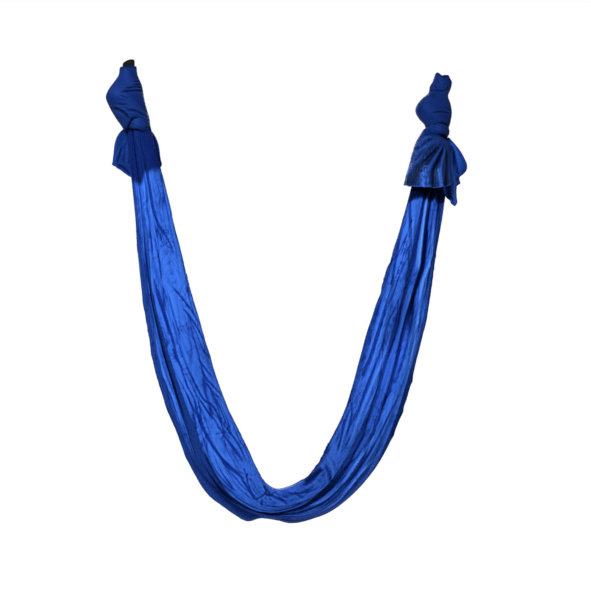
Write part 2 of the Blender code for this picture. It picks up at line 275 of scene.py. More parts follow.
# %% Furrows
CURVE_PIECES = 5  # between two points of a drawn line
LIP_HEIGHT = 0.35  # of the raised lip beside a furrow, as a share of the furrow's depth
LIP_PLACE = 2.1  # in half widths of the furrow
STAR_FURROW = (0.0034, 0.0028)  # depth, half width


def near_line(along, across, points):
    """Distance to a line of points, and how far along the line the nearest place is."""
    lengths = [math.dist(a, b) for a, b in zip(points, points[1:])]
    total = sum(lengths)
    nearest = np.full(along.shape, np.inf)
    share = np.zeros(along.shape)
    passed = 0.0
    for (a0, c0), (a1, c1), length in zip(points, points[1:], lengths):
        t = ((along - a0) * (a1 - a0) + (across - c0) * (c1 - c0)) / length**2
        t = np.clip(t, 0.0, 1.0)
        gap = np.hypot(along - a0 - t * (a1 - a0), across - c0 - t * (c1 - c0))
        closer = gap < nearest
        share = np.where(closer, (passed + t * length) / total, share)
        nearest = np.minimum(nearest, gap)
        passed += length
    return nearest, share


def smooth_line(points):
    """More points on a soft curve through the given ones."""
    if len(points) < 3:
        return points
    number = np.arange(len(points))
    keys = np.linspace(0, len(points) - 1, (len(points) - 1) * CURVE_PIECES + 1)
    first = keyed(keys, *zip(number, [p[0] for p in points]))
    second = keyed(keys, *zip(number, [p[1] for p in points]))
    return list(zip(first, second))


def furrow(gap, share, depth, width, growth=0.0, open_end=False):
    """The section of a furrow, with a raised lip on both sides; it can widen along its line."""
    taper = smooth((share + 0.08) / 0.30)
    if not open_end:
        taper = taper * smooth((1.08 - share) / 0.30)
    across = gap / (width * (1 + growth * share))
    return -depth * taper * (np.exp(-(across**1.4)) - LIP_HEIGHT * np.exp(-((across - LIP_PLACE) ** 2)))


def star(centre, reach, arms, turn):
    """Short furrows that run out from a pinch, with unlike lengths; reach is (along, across)."""
    lines = []
    for k in range(arms):
        angle = turn + 2 * math.pi * k / arms
        size = 0.55 + 0.45 * math.sin(2.3 * k + turn) ** 2
        tip = (
            centre[0] + reach[0] * size * math.cos(angle),
            centre[1] + reach[1] * size * math.sin(angle),
        )
        lines.append((*STAR_FURROW, [centre, tip]))
    return lines


# %% The broad face's furrows
# Each furrow is (depth, half width, [(share along, share across), ...]); a ridge has a
# negative depth.
FURROWS = [
    (0.0048, 0.0036, [
        (0.030, 0.10), (0.077, 0.06), (0.101, 0.04), (0.116, 0.17), (0.135, 0.50), (0.155, 0.66),
    ]),
    (0.0041, 0.0032, [
        (0.030, -0.20), (0.074, -0.15), (0.094, -0.30), (0.112, -0.30), (0.145, -0.42),
        (0.165, -0.50),
    ]),
    (0.0057, 0.0040, [(0.178, -0.55), (0.200, -0.49), (0.224, -0.39), (0.247, -0.30), (0.272, -0.29)]),
    (0.0034, 0.0029, [(0.146, -0.14), (0.180, -0.20)]),
    (0.0039, 0.0029, [(0.196, -0.05), (0.220, -0.04), (0.250, 0.02)]),
    (0.0046, 0.0032, [(0.189, 0.17), (0.207, 0.50), (0.225, 0.76), (0.243, 0.90)]),
    (0.0046, 0.0032, [(0.218, 0.42), (0.236, 0.68), (0.262, 0.90)]),
    (0.0034, 0.0029, [(0.269, 0.72), (0.284, 0.90)]),
    (0.0041, 0.0032, [(0.255, -0.40), (0.280, -0.26), (0.310, -0.20)]),
    (0.0046, 0.0032, [
        (0.280, -0.04), (0.302, 0.06), (0.326, 0.20), (0.336, 0.42), (0.352, 0.53),
        (0.368, 0.62),
    ]),
    (0.0060, 0.0040, [
        (0.325, -0.16), (0.347, -0.16), (0.365, -0.14), (0.385, -0.07), (0.404, 0.03),
        (0.418, 0.19), (0.431, 0.36),
    ]),
    (0.0039, 0.0029, [(0.312, -0.30), (0.330, -0.26), (0.350, -0.17)]),
    (0.0041, 0.0029, [(0.278, 0.42), (0.291, 0.58), (0.305, 0.76)]),
    (0.0044, 0.0029, [(0.294, 0.45), (0.307, 0.57), (0.319, 0.76), (0.332, 0.92)]),
    (0.0034, 0.0025, [(0.310, 0.50), (0.322, 0.62), (0.334, 0.82)]),
    (0.0041, 0.0029, [(0.364, 0.59), (0.376, 0.71), (0.397, 0.84), (0.416, 0.86)]),
    (0.0037, 0.0029, [(0.337, 0.28), (0.351, 0.45), (0.364, 0.57)]),
    (0.0034, 0.0029, [(0.379, 0.46), (0.400, 0.62), (0.417, 0.74)]),
    (0.0051, 0.0036, [(0.427, 0.25), (0.440, 0.23), (0.452, 0.10), (0.462, -0.02)]),
    (0.0041, 0.0032, [(0.433, 0.86), (0.431, 0.56), (0.440, 0.36), (0.455, 0.06)]),
    (0.0039, 0.0032, [(0.463, 0.86), (0.469, 0.56), (0.478, 0.60), (0.488, 0.46), (0.498, 0.24)]),
    (0.0032, 0.0029, [(0.466, 0.08), (0.468, -0.18)]),
    (0.0034, 0.0029, [(0.500, 0.80), (0.515, 0.62), (0.532, 0.60)]),
    (0.0080, 0.0060, [(0.524, 0.98), (0.539, 0.92), (0.562, 0.88)]),
    (0.0053, 0.0040, [(0.930, 0.98), (0.914, 0.90), (0.885, 0.58), (0.862, 0.38)]),
    (0.0046, 0.0036, [(0.880, 0.97), (0.851, 0.90), (0.829, 0.82), (0.810, 0.72)]),
    (0.0053, 0.0040, [(0.799, 0.68), (0.779, 0.72), (0.753, 0.75), (0.720, 0.77), (0.690, 0.84)]),
    (0.0041, 0.0032, [(0.760, 0.46), (0.720, 0.52), (0.680, 0.60), (0.640, 0.56)]),
    (-0.0046, 0.0043, [(0.760, 0.30), (0.720, 0.34), (0.680, 0.44), (0.640, 0.44), (0.610, 0.36)]),
    (0.0039, 0.0029, [(0.660, 0.90), (0.640, 0.70), (0.615, 0.58)]),
    (0.0034, 0.0029, [(0.640, 0.96), (0.620, 0.78), (0.596, 0.64)]),
    (0.0036, 0.0028, [(0.337, 0.28), (0.359, 0.36), (0.375, 0.45), (0.396, 0.64), (0.412, 0.80)]),
    (0.0034, 0.0028, [(0.323, 0.05), (0.338, 0.17), (0.354, 0.32)]),
    (0.0034, 0.0028, [(0.298, -0.22), (0.307, -0.21), (0.321, -0.12), (0.335, -0.12)]),
    (0.0045, 0.0034, [(0.465, 0.25), (0.466, 0.00), (0.467, -0.17)]),
    (0.0050, 0.0036, [(0.465, 0.57), (0.477, 0.59), (0.491, 0.35), (0.499, 0.10)]),
    (0.0045, 0.0034, [(0.479, 0.99), (0.488, 0.58), (0.497, 0.03)]),
    (0.0045, 0.0034, [(0.458, -0.01), (0.464, 0.38), (0.470, 0.96)]),
    (0.0040, 0.0032, [(0.508, 0.90), (0.512, 0.55), (0.520, 0.30)]),
    (0.0034, 0.0030, [(0.522, 0.62), (0.532, 0.48), (0.545, 0.42)]),
    (0.0050, 0.0045, [(0.573, 0.88), (0.562, 0.34), (0.554, 0.18)]),
    (-0.0045, 0.0045, [(0.582, 0.88), (0.571, 0.38), (0.563, 0.22)]),
    (0.0034, 0.0030, [(0.600, 0.80), (0.622, 0.86), (0.650, 0.88)]),
    (-0.0034, 0.0034, [(0.590, 0.50), (0.606, 0.62), (0.628, 0.72), (0.650, 0.80)]),
]
FURROWS += star((0.371, 0.50), (0.018, 0.34), 9, 0.4)
FURROWS += star((0.431, 0.56), (0.014, 0.36), 7, 1.1)
FURROWS += star((0.469, 0.55), (0.012, 0.40), 7, 0.2)
print(len(FURROWS), "furrows and ridges on the broad face")

# %% The pleats' furrows
# Ridges on the pleats that also shine.
TOP_RIDGE = [(0.927, 0.01), (0.885, -0.05), (0.855, -0.12), (0.835, -0.20)]
OUTER_RIDGE = [(0.901, -0.62), (0.873, -0.70), (0.853, -0.69), (0.822, -0.47), (0.795, -0.48)]
LOW_RIDGE = [(0.795, -0.48), (0.758, -0.61), (0.730, -0.66)]
SEAT_RIDGE = [(0.634, -0.35), (0.604, -0.21), (0.582, -0.20), (0.553, -0.25), (0.524, -0.25)]
LOW_SEAT_RIDGE = [(0.611, -0.71), (0.589, -0.54), (0.565, -0.59), (0.555, -0.68), (0.535, -0.75)]

# On the pleats: the ridges and dark valleys of the right strand, and two ridges at the seat.
PLEAT_FURROWS = [
    (0.0050, 0.0060, [(0.933, 0.14), (0.901, 0.36), (0.874, 0.31), (0.850, 0.28), (0.830, 0.44)]),
    (0.0060, 0.0065, [(0.886, -0.30), (0.866, -0.32), (0.845, -0.33), (0.817, -0.19), (0.784, -0.21)]),
    (0.0045, 0.0050, [(0.784, -0.21), (0.758, -0.32), (0.730, -0.36), (0.700, -0.34)]),
    (-0.0050, 0.0038, TOP_RIDGE),
    (-0.0050, 0.0042, OUTER_RIDGE),
    (-0.0045, 0.0040, LOW_RIDGE),
    (0.0040, 0.0036, [(0.910, -0.84), (0.870, -0.86), (0.830, -0.74), (0.790, -0.70)]),
    (0.0036, 0.0034, [(0.815, 0.50), (0.790, 0.40), (0.765, 0.36), (0.735, 0.48)]),
    (0.0034, 0.0032, [(0.800, 0.20), (0.775, 0.10), (0.745, 0.12), (0.715, 0.20)]),
    (-0.0042, 0.0045, SEAT_RIDGE),
    (-0.0036, 0.0040, LOW_SEAT_RIDGE),
    (0.0050, 0.0034, [
        (0.230, -0.90), (0.254, -0.96), (0.281, -0.97), (0.300, -0.94), (0.326, -0.93),
        (0.350, -0.95),
    ]),
    (0.0045, 0.0030, [(0.262, -0.92), (0.283, -0.91), (0.304, -0.87), (0.321, -0.85), (0.338, -0.87)]),
    (-0.0045, 0.0032, [(0.275, -0.90), (0.300, -0.83), (0.316, -0.77), (0.345, -0.78)]),
    (0.0040, 0.0030, [(0.110, -0.90), (0.150, -0.93), (0.190, -0.95), (0.225, -0.94)]),
    (0.0036, 0.0028, [(0.140, -0.80), (0.175, -0.86), (0.210, -0.88), (0.245, -0.87)]),
    (0.0040, 0.0034, [(0.690, -0.62), (0.650, -0.50), (0.615, -0.44), (0.580, -0.40), (0.545, -0.48)]),
    (0.0036, 0.0032, [(0.640, -0.05), (0.615, 0.02), (0.590, -0.02), (0.570, 0.03)]),
]
print(len(PLEAT_FURROWS), "furrows and ridges on the pleats")

# %% Shades and glints
# Painted shade is a deeper blue up to 1, and nearly black at 2. Glints are painted highlights
# where the satin shines.
SHADES = [
    (0.60, 0.020, [
        (0.915, 0.36), (0.886, 0.35), (0.841, 0.15), (0.796, 0.16), (0.750, 0.27), (0.719, 0.28),
    ]),
    (0.55, 0.009, [(0.836, 0.86), (0.814, 0.71), (0.790, 0.60), (0.755, 0.52), (0.720, 0.44)]),
    (1.00, 0.007, [
        (0.878, -0.18), (0.865, -0.24), (0.841, -0.26), (0.814, -0.24), (0.784, -0.29),
        (0.748, -0.42),
    ]),
    (1.20, 0.005, [(0.240, -0.74), (0.256, -0.70), (0.291, -0.63), (0.323, -0.60), (0.350, -0.58)]),
    (1.80, 0.010, [
        (0.375, -0.50), (0.398, -0.56), (0.419, -0.66), (0.439, -0.80), (0.449, -0.87),
        (0.461, -0.84),
    ]),
    (1.00, 0.0045, [(0.520, -0.62), (0.545, -0.52), (0.575, -0.40), (0.605, -0.40), (0.640, -0.48)]),
    (0.90, 0.0045, [(0.512, -0.84), (0.535, -0.90), (0.560, -0.76), (0.585, -0.70), (0.610, -0.82)]),
    (0.80, 0.0050, [(0.600, 0.02), (0.640, 0.08), (0.680, 0.20), (0.720, 0.24)]),
    (1.40, 0.006, [(0.446, -0.78), (0.461, -0.72), (0.471, -0.62), (0.483, -0.56), (0.500, -0.40)]),
    (1.50, 0.009, [(0.526, 1.08), (0.548, 0.97), (0.567, 0.84)]),
    (1.00, 0.006, [(0.457, 0.95), (0.467, 0.79), (0.4765, 0.60)]),
    (0.90, 0.004, [(0.4745, 0.62), (0.4820, 0.82)]),
]
GLINTS = [
    (0.80, 0.0035, TOP_RIDGE),
    (0.60, 0.0045, OUTER_RIDGE),
    (0.50, 0.0045, [*LOW_RIDGE, (0.700, -0.62)]),
    (0.75, 0.0032, SEAT_RIDGE),
    (0.65, 0.0028, LOW_SEAT_RIDGE),
    (0.45, 0.0060, [(0.905, 0.60), (0.880, 0.50), (0.860, 0.44)]),
]
print(len(SHADES), "shades and", len(GLINTS), "glints")


# %% From lines to heights and stripes
def drawn(s, across, half_width, length, lines):
    """Each drawn line's numbers, its rows, and how near to it and far along it they are."""
    far = s[:, None] * length + 0 * across
    side = across * half_width[:, None]
    for strength, width, points in lines:
        soft_line = smooth_line(points)
        metric = [(a * length, c * float(np.interp(a, s, half_width))) for a, c in soft_line]
        low = min(point[0] for point in metric) - 3 * width
        high = max(point[0] for point in metric) + 3 * width
        rows = np.nonzero((far[:, 0] > low) & (far[:, 0] < high))[0]
        gap, share = near_line(far[rows], side[rows], metric)
        yield strength, width, rows, gap, share


def pressed(places, furrows):
    """Height of the drawn furrows, for rows at shares s and places across in half widths."""
    height = np.zeros(places[1].shape)
    for depth, width, rows, gap, share in drawn(*places, furrows):
        height[rows] += furrow(gap, share, depth, width)
    return height


def striped(places, lines):
    """Strength of the drawn stripes of shade or glint, at the same places."""
    stripes = np.zeros(places[1].shape)
    for strength, width, rows, gap, share in drawn(*places, lines):
        fade = smooth((share + 0.05) / 0.25) * smooth((1.05 - share) / 0.25)
        stripe = strength * fade * np.exp(-((gap / width) ** 2))
        stripes[rows] = np.maximum(stripes[rows], stripe)
    return stripes


# %% [markdown]
# ## A folded sheet
#
# The bundle's section is a zigzag of folds. For every place along the cloth, the folds are
# corners of a line that is rounded at each corner, so one grid of vertices, moved to these
# places, makes the whole sheet in one piece with its creases running along the grid. A grid
# could also be draped by simulation, but its folds would then fall where they like, and not
# where the photograph has them.

# %% Folded sections
FINE = 0.0024  # between vertices where the cloth shows
COARSE = 0.007  # and where other layers cover it
CORNER_SHARE = 0.48  # the most of a leg that a round corner takes
CORNER_ROWS = 5  # at least
TYPICAL = 90  # the percentile of the lengths that sets the number of rows


def rounded_line(corners, radii, spacings):
    """Rows of points along a line with round corners; each corner is (w, d) for every row."""
    corners = np.stack([np.stack(corner, axis=-1) for corner in corners])
    legs = np.linalg.norm(np.diff(corners, axis=0), axis=-1)
    rows = []
    start = corners[0]
    for k in range(1, len(corners)):
        last = k == len(corners) - 1
        here = corners[k]
        back = corners[k - 1] - here
        back /= np.maximum(np.linalg.norm(back, axis=-1, keepdims=True), 1e-9)
        if last:
            stop = here
        else:
            ahead = corners[k + 1] - here
            ahead /= np.maximum(np.linalg.norm(ahead, axis=-1, keepdims=True), 1e-9)
            reach = np.minimum(radii[k], CORNER_SHARE * np.minimum(legs[k - 1], legs[k]))[:, None]
            stop = here + back * reach
        length = np.percentile(np.linalg.norm(stop - start, axis=-1), TYPICAL)
        count = max(1, math.ceil(length / spacings[k - 1]))
        for i in range(count):
            rows.append(start + (stop - start) * (i / count))
        if not last:
            leave = here + ahead * reach
            bend = 2 * float(np.percentile(reach, TYPICAL))
            bends = max(CORNER_ROWS, math.ceil(bend / spacings[k - 1]))
            for i in range(bends):
                t = i / bends
                rows.append((1 - t) ** 2 * stop + 2 * t * (1 - t) * here + t * t * leave)
            start = leave
    rows.append(corners[-1])
    return np.stack(rows, axis=1)


def normals_of(grid):
    """Unit normals of a grid of points."""
    along_u = np.gradient(grid, axis=1)
    along_v = np.gradient(grid, axis=0)
    normal = np.cross(along_u, along_v)
    return normal / np.maximum(np.linalg.norm(normal, axis=-1, keepdims=True), 1e-12)


# %% From a grid to a piece
def mesh_from(bm, name):
    """A mesh from a bmesh, which is freed."""
    mesh = bpy.data.meshes.new(name)
    bm.to_mesh(mesh)
    bm.free()
    return mesh


def places_of(mesh):
    """The places of a mesh's vertices, as rows of x, y and z."""
    place = np.zeros(len(mesh.vertices) * 3)
    mesh.vertices.foreach_get("co", place)
    return place.reshape(-1, 3)


def move_vertices(mesh, places):
    """Give a mesh's vertices new places."""
    mesh.vertices.foreach_set("co", places.astype(np.float32).ravel())


def corners_of(mesh):
    """The number of the vertex at each corner of a mesh's faces."""
    corner = np.zeros(len(mesh.loops), int)
    mesh.loops.foreach_get("vertex_index", corner)
    return corner


def keep_value(mesh, name, values):
    """Store one number for each vertex, for the material to read."""
    stored = mesh.attributes.new(name, "FLOAT", "POINT")
    stored.data.foreach_set("value", np.asarray(values, np.float32).ravel())


def finished(name, mesh):
    """The piece of a mesh whose places, coordinates and values are set."""
    mesh.shade_smooth()
    mesh.update()
    return put_in_scene(name, mesh)


def cloth_piece(name, grid, u, v, relief, shade):
    """A sheet from a grid of places, with its own coordinates in metres as the UV map."""
    row_count, column_count = grid.shape[:2]
    bm = bmesh.new()
    bm.loops.layers.uv.new("UVMap")
    bmesh.ops.create_grid(
        bm,
        x_segments=column_count - 1,
        y_segments=row_count - 1,
        size=0.5,
        calc_uvs=True,
    )
    mesh = mesh_from(bm, name)
    flat = places_of(mesh)
    column = np.rint((flat[:, 0] + 0.5) * (column_count - 1)).astype(int)
    row = np.rint((flat[:, 1] + 0.5) * (row_count - 1)).astype(int)
    move_vertices(mesh, grid[row, column])
    sheet_place = np.stack([u + 0 * grid[..., 0], v + 0 * grid[..., 0]], axis=-1)
    sheet_place = sheet_place[row, column][corners_of(mesh)]
    mesh.uv_layers["UVMap"].data.foreach_set("uv", sheet_place.astype(np.float32).ravel())
    keep_value(mesh, "relief", (relief + 0 * grid[..., 0])[row, column])
    keep_value(mesh, "shade", (shade + 0 * grid[..., 0])[row, column])
    return finished(name, mesh)


def area_of(grid):
    """Area of a grid of points, in square metres."""
    a = grid[1:, 1:] - grid[:-1, :-1]
    b = grid[1:, :-1] - grid[:-1, 1:]
    return float(np.linalg.norm(np.cross(a, b), axis=-1).sum() / 2)


# %% [markdown]
# ## The sling's folds
#
# From the front, the left strand is one broad face whose outer edge is a fold. Beside it a
# dark gap opens, and then comes a narrow outer band. At the seat the same broad face runs on
# as the upper band, and on the right its edge moves inwards, so that five overlapping pleats
# show beside it. The edge of the broad face, the gap and the outer limit are the driving
# curves. All of them are shares of half the bundle's width: 1 is its inner side, -1 its outer.

# %% Driving curves of the front
STATION = 0.0045  # from one section of the cloth to the next
PLEAT_STATION = 0.0048
HIDDEN_STATION = 0.012
LENGTH_ABOVE = 0.026  # of cloth that runs on into each knot
SECTION_POWER = 2.4  # of the bundle's outside: 2 is an ellipse, and more is boxier


def stations(route, step):
    """Places along the cloth, from inside one knot to inside the other."""
    start, end = route.first - LENGTH_ABOVE, route.last + LENGTH_ABOVE
    return np.linspace(start, end, int((end - start) / step) + 1)


def shares(route, arc):
    """Lengths along the cloth as shares, from 0 at the left knot to 1 at the right one."""
    return (arc - route.first) / (route.last - route.first)


# The outer edge of the front's broad face.
edge_curve = through(
    (0.00, -0.52), (0.08, -0.50), (0.14, -0.58), (0.20, -0.73), (0.25, -0.58), (0.32, -0.47),
    (0.36, -0.45), (0.40, -0.56), (0.44, -0.63), (0.47, -0.54), (0.49, -0.38), (0.51, -0.16),
    (0.534, 0.10), (0.557, 0.20), (0.58, 0.34), (0.62, 0.50), (0.68, 0.64), (0.74, 0.70),
    (0.80, 0.60), (0.86, 0.48), (0.90, 0.40), (0.93, 0.25), (1.00, 0.18),
)


# The inner edge of the outer pleats: far from the broad face where the gap is open.
gap_curve = through(
    (0.00, -0.60), (0.08, -0.62), (0.14, -0.76), (0.20, -0.82), (0.25, -0.75), (0.32, -0.71),
    (0.36, -0.73), (0.40, -0.82), (0.44, -0.70), (0.47, -0.60), (0.49, -0.50), (0.51, -0.34),
    (0.534, -0.16), (0.56, -0.10), (0.60, -0.12), (0.64, -0.06), (0.70, 0.02), (0.80, 0.00),
    (0.835, -0.16), (0.86, -0.12), (0.89, -0.04), (0.93, 0.00), (1.00, 0.00),
)


# The outer limit of the front's pleats; at the left of the seat they tuck in.
outer_curve = through(
    (0.00, -0.97), (0.08, -0.98), (0.13, -1.04), (0.17, -1.08), (0.25, -1.08), (0.29, -1.07),
    (0.32, -1.03), (0.345, -0.97), (0.38, -0.93), (0.41, -0.84), (0.44, -0.76), (0.472, -0.62),
    (0.49, -0.70), (0.51, -0.95), (0.53, -1.00), (0.58, -1.00), (0.63, -1.05), (0.68, -1.05),
    (0.76, -0.99), (0.86, -1.02), (0.93, -1.26), (1.00, -1.32),
)


# The inner limit of both halves, a little wider below the left knot.
inner_reach = through(
    (0.000, 1.12), (0.060, 1.12), (0.130, 1.04), (0.220, 0.985), (0.360, 0.985), (0.385, 1.06),
    (0.415, 1.17), (0.445, 1.19), (0.470, 1.12), (0.488, 1.06), (0.502, 1.17), (0.520, 1.25),
    (0.543, 1.13), (0.567, 0.995), (0.600, 0.985), (1.000, 0.985),
)


# The outer limit of the back half: it hangs lower than the front at the left of the seat.
lobe_reach = through(
    (0.00, -0.985), (0.09, -0.985), (0.13, -1.04), (0.17, -1.09), (0.25, -1.09), (0.29, -1.08),
    (0.32, -1.05), (0.35, -1.00), (0.40, -1.06), (0.426, -1.14), (0.445, -1.05), (0.457, -1.08),
    (0.4655, -1.10), (0.4750, -0.75), (0.488, -0.74), (0.505, -0.97), (0.53, -0.98),
    (0.66, -1.02), (0.86, -1.00), (0.93, -1.12), (1.00, -1.16),
)


def envelope(w):
    """How far the bundle's outside reaches in depth, at a share of its width."""
    return (1 - np.minimum(np.abs(w), 0.995) ** SECTION_POWER) ** (1 / SECTION_POWER)


# %% [markdown]
# ### Building one stack of folds
#
# A stack is a list of corners. Each corner has a share of the width, a share of the depth,
# a radius, and the spacing of the vertices that lead up to it: fine where the cloth shows,
# coarse where other layers cover it.

# %% Sections swept along the cloth
def section_of(s, half_width, half_depth, corners, seed):
    """The folds' section at every share; each corner wanders a little along the cloth."""
    lines, radii, spacings = [], [], []
    for k, (w, d, radius, spacing) in enumerate(corners):
        w = w(s) if callable(w) else np.full_like(s, w)
        d = d(s) if callable(d) else np.full_like(s, d)
        wander = 0.020 * noise(s * 9, 3.7 * k, seed + 20) + 0.012 * noise(s * 31, 5.1 * k, seed + 21)
        lines.append(((w + wander) * half_width, d * half_depth))
        radii.append(radius)
        spacings.append(spacing)
    return rounded_line(lines, radii, spacings[1:])


def swept(route, arc, section, side, percentile):
    """The grid of places that a section sweeps, and its coordinates on the flat cloth.

    side is -1 at the front and 1 at the back. A column of the flat cloth is as wide as this
    percentile of its widths along the way.
    """
    middle = route.place(arc)[:, None, :]
    across = route.across(arc)[:, None, :]
    grid = middle + across * section[..., :1]
    grid[..., 1] = side * section[..., 1]
    gaps = np.linalg.norm(np.diff(grid, axis=1), axis=-1)
    u = np.concatenate([[0.0], np.cumsum(np.percentile(gaps, percentile, axis=0))])
    u = np.broadcast_to(u, grid.shape[:2])
    v = np.broadcast_to(arc[:, None], grid.shape[:2])
    return grid, u, v


# %% [markdown]
# ### Painted shade
#
# Under the knots, under the skirt's hem, at the seat and inside the folds the satin is painted
# a deeper blue, as painted shade where its layers shade each other. The lamps' own shadows give
# only part of it, so each vertex stores a shade value too, and the material mixes in a darker
# blue by it.

# %% Shade of the cloth
# Painted shade: under the left knot, nearly black where it touches it, under the skirt's hem, at the
# seat and deep inside the folds.
SHADE_LEFT = 0.058  # the cloth under the left knot is a deeper blue down to here
SHADE_RIGHT = 0.920  # and under the skirt from here up
SHADE_BLUR = 0.009
CONTACT = 0.006  # the share of the cloth that is nearly black under the left knot
SEAT_SHADE = 0.50  # in the middle of the seat's shade, which lies a little to the right
SEAT_SHADE_MIDDLE = 0.555
SEAT_SHADE_REACH = 0.17
FOLD_SHADE = 0.75  # deep inside the folds


def shade_of(s, side, inside, facing):
    """1 where the cloth is a deeper blue, 2 where it is nearly black.

    Painted shade lies under both knots, at the seat and inside the folds. Painted contact shadow,
    nearly black, lies against the left knot and, on the front, under the skirt's hem.
    """
    s = s[:, None]
    ragged = 0.004 * noise(side * 3.0, s * 40.0, 5)
    left_line = SHADE_LEFT + 0.011 * smooth((0.05 - side) / 0.45) + ragged
    left = smooth((left_line - s) / SHADE_BLUR) + smooth((CONTACT - s) / CONTACT)
    right_line = SHADE_RIGHT - 0.008 * smooth((side - 0.55) / 0.3) + 1.5 * ragged
    right = (1.9 if facing < 0 else 0.9) * smooth((s - right_line) / SHADE_BLUR)
    seat = SEAT_SHADE * smooth(1 - np.abs(s - SEAT_SHADE_MIDDLE) / SEAT_SHADE_REACH)
    deep = FOLD_SHADE * smooth((0.66 - inside) / 0.30)
    return np.maximum(np.maximum(left, right), np.maximum(seat, deep))


# %% Stack builder
STACK_PERCENTILE = 85


def stack(name, route, facing, step, corners, seed, strength, furrows=None):
    """One folded sheet, with its width across the folds and its length.

    facing is -1 for the front half and 1 for the back half. Corners are
    (w, d, radius, spacing), where w and d are curves or numbers.
    """
    arc = stations(route, step)
    s = shares(route, arc)
    half_width, half_depth = route.halves(arc)
    section = section_of(s, half_width, half_depth, corners, seed)
    grid, u, v = swept(route, arc, section, facing, STACK_PERCENTILE)
    soft, sharp = wrinkles(u, v, seed, strength)
    side = section[..., 0] / half_width[:, None]
    inside = section[..., 1] / half_depth[:, None]
    if furrows:
        outside = smooth((inside - 0.35) / 0.25)
        places = (s, side, half_width, route.last - route.first)
        sharp = sharp + outside * pressed(places, furrows)
    tied = 0.35 + 0.65 * smooth(np.minimum(s, 1 - s) / 0.06)
    narrow = tied[:, None] * (half_width[:, None] * 2 / STRAND[0]) ** 0.5
    soft, sharp = soft * narrow, sharp * narrow
    grid = grid - facing * normals_of(grid) * (soft + sharp)[..., None]
    # Painted shade from shade_of; on the front, painted shade stripes and painted highlights too, the
    # highlights stored as negative shade. The relief also picks the colour: painted shade in the
    # furrows.
    shade = shade_of(s, side, inside, facing)
    if furrows:
        glint = outside * striped(places, GLINTS)
        shade = np.maximum(shade, striped(places, SHADES)) * (1 - glint) - glint
    piece = cloth_piece(name, grid, u, v, sharp + 0.5 * soft, shade)
    width = area_of(grid) / (arc[-1] - arc[0])
    print(name, grid.shape[:2], "mean width", round(width, 3), "m")
    return piece, width, arc[-1] - arc[0]


# %% [markdown]
# ### Front of the sling
#
# On the real hammock the front half is the near edge of the sheet, gathered by hand. Three
# stacks make it: the broad face, the pleats beside it, and hidden layers behind them. Every
# corner follows the driving curves, so the outline stays right from knot to knot, and only
# the layers that show get a fine grid.

# %% Curves of the front
PLEAT_LEAN = 0.03  # how far the pleats' edges lean to and fro, as a share of their room


def between(share):
    """A curve at a share of the way from the gap to the outer limit, with a slow lean."""

    def curve(s):
        here = share + PLEAT_LEAN * np.sin(2 * math.pi * (s * 1.7 + share * 3.1))
        return gap_curve(s) + (outer_curve(s) - gap_curve(s)) * here

    return curve


def on_face(curve, share):
    """Depth at a curve across the bundle, as a share of its outside there."""
    return lambda s: envelope(curve(s)) * share


def shifted(curve, amount):
    """The same curve, further in or, where the amount is negative, further out."""
    return lambda s: curve(s) + amount


# Depth of the first valley in the pleats: it opens into the right strand's dark stripe.
valley = through(
    (0.0, 0.84), (0.44, 0.80), (0.50, 0.76), (0.60, 0.72), (0.70, 0.50), (0.76, 0.32),
    (0.88, 0.28), (0.93, 0.44), (1.0, 0.70),
)


# Depth of the layer that shows in the gap.
gap_floor = through(
    (0.0, 0.60), (0.12, 0.55), (0.20, 0.36), (0.36, 0.30), (0.44, 0.32), (0.50, 0.34),
    (0.56, 0.42), (0.62, 0.62), (0.72, 0.66), (0.80, 0.60), (0.87, 0.52), (0.92, 0.56),
    (1.0, 0.62),
)


# Height of the outer band at the left; it sinks behind the broad face near the seat.
outer_band = through(
    (0.0, 0.86), (0.20, 0.94), (0.34, 0.92), (0.40, 0.62), (0.44, 0.48), (0.48, 0.66),
    (0.54, 0.90), (1.0, 0.94),
)


def pleat(share, depth, radius):
    """A corner of the pleats; depth is a share of the bundle's outside there."""
    curve = between(share)

    def here(s):
        return envelope(curve(s)) * outer_band(s) * (depth(s) if callable(depth) else depth)

    return (curve, here, radius, FINE)


# %% Corners of the front
front_corners = [
    (0.55, 0.38, 0.004, COARSE),
    (shifted(inner_reach, -0.05), 0.34, 0.008, COARSE),
    (inner_reach, 0.42, 0.012, FINE),
    (shifted(inner_reach, -0.12), 0.66, 0.020, FINE),
    (0.58, 0.88, 0.040, FINE),
    (0.15, 0.98, 0.060, FINE),
    (shifted(edge_curve, 0.30), on_face(shifted(edge_curve, 0.30), 0.99), 0.030, FINE),
    (edge_curve, on_face(edge_curve, 0.93), 0.004, FINE),
    (shifted(edge_curve, 0.16), on_face(edge_curve, 0.62), 0.008, FINE),
    (shifted(edge_curve, 0.42), 0.40, 0.010, COARSE),
]
pleat_corners = [
    (shifted(edge_curve, 0.40), 0.34, 0.004, COARSE),
    (shifted(edge_curve, 0.04), gap_floor, 0.010, COARSE),
    (shifted(gap_curve, 0.03), gap_floor, 0.005, FINE),
    pleat(0.0, 1.0, 0.004),
    pleat(0.08, 0.98, 0.004),
    pleat(0.20, valley, 0.005),
    pleat(0.36, 0.99, 0.004),
    pleat(0.58, 1.0, 0.0035),
    pleat(0.50, 0.80, 0.005),
    pleat(0.80, 1.0, 0.0035),
    pleat(0.72, 0.80, 0.005),
    pleat(0.94, 1.0, 0.010),
    (outer_curve, 0.30, 0.010, FINE),
    (shifted(outer_curve, 0.35), 0.25, 0.010, COARSE),
]
print("corners in the front's sections:", len(front_corners), "and", len(pleat_corners))

# %% Hidden layers
# The outer limit of the hidden layers: they fill the bundle at the seat.
hidden_reach = through(
    (0.00, -0.58), (0.36, -0.60), (0.43, -0.64), (0.472, -0.50), (0.495, -0.60), (0.52, -0.84),
    (0.58, -0.88), (0.66, -0.84), (0.74, -0.60), (1.00, -0.58),
)


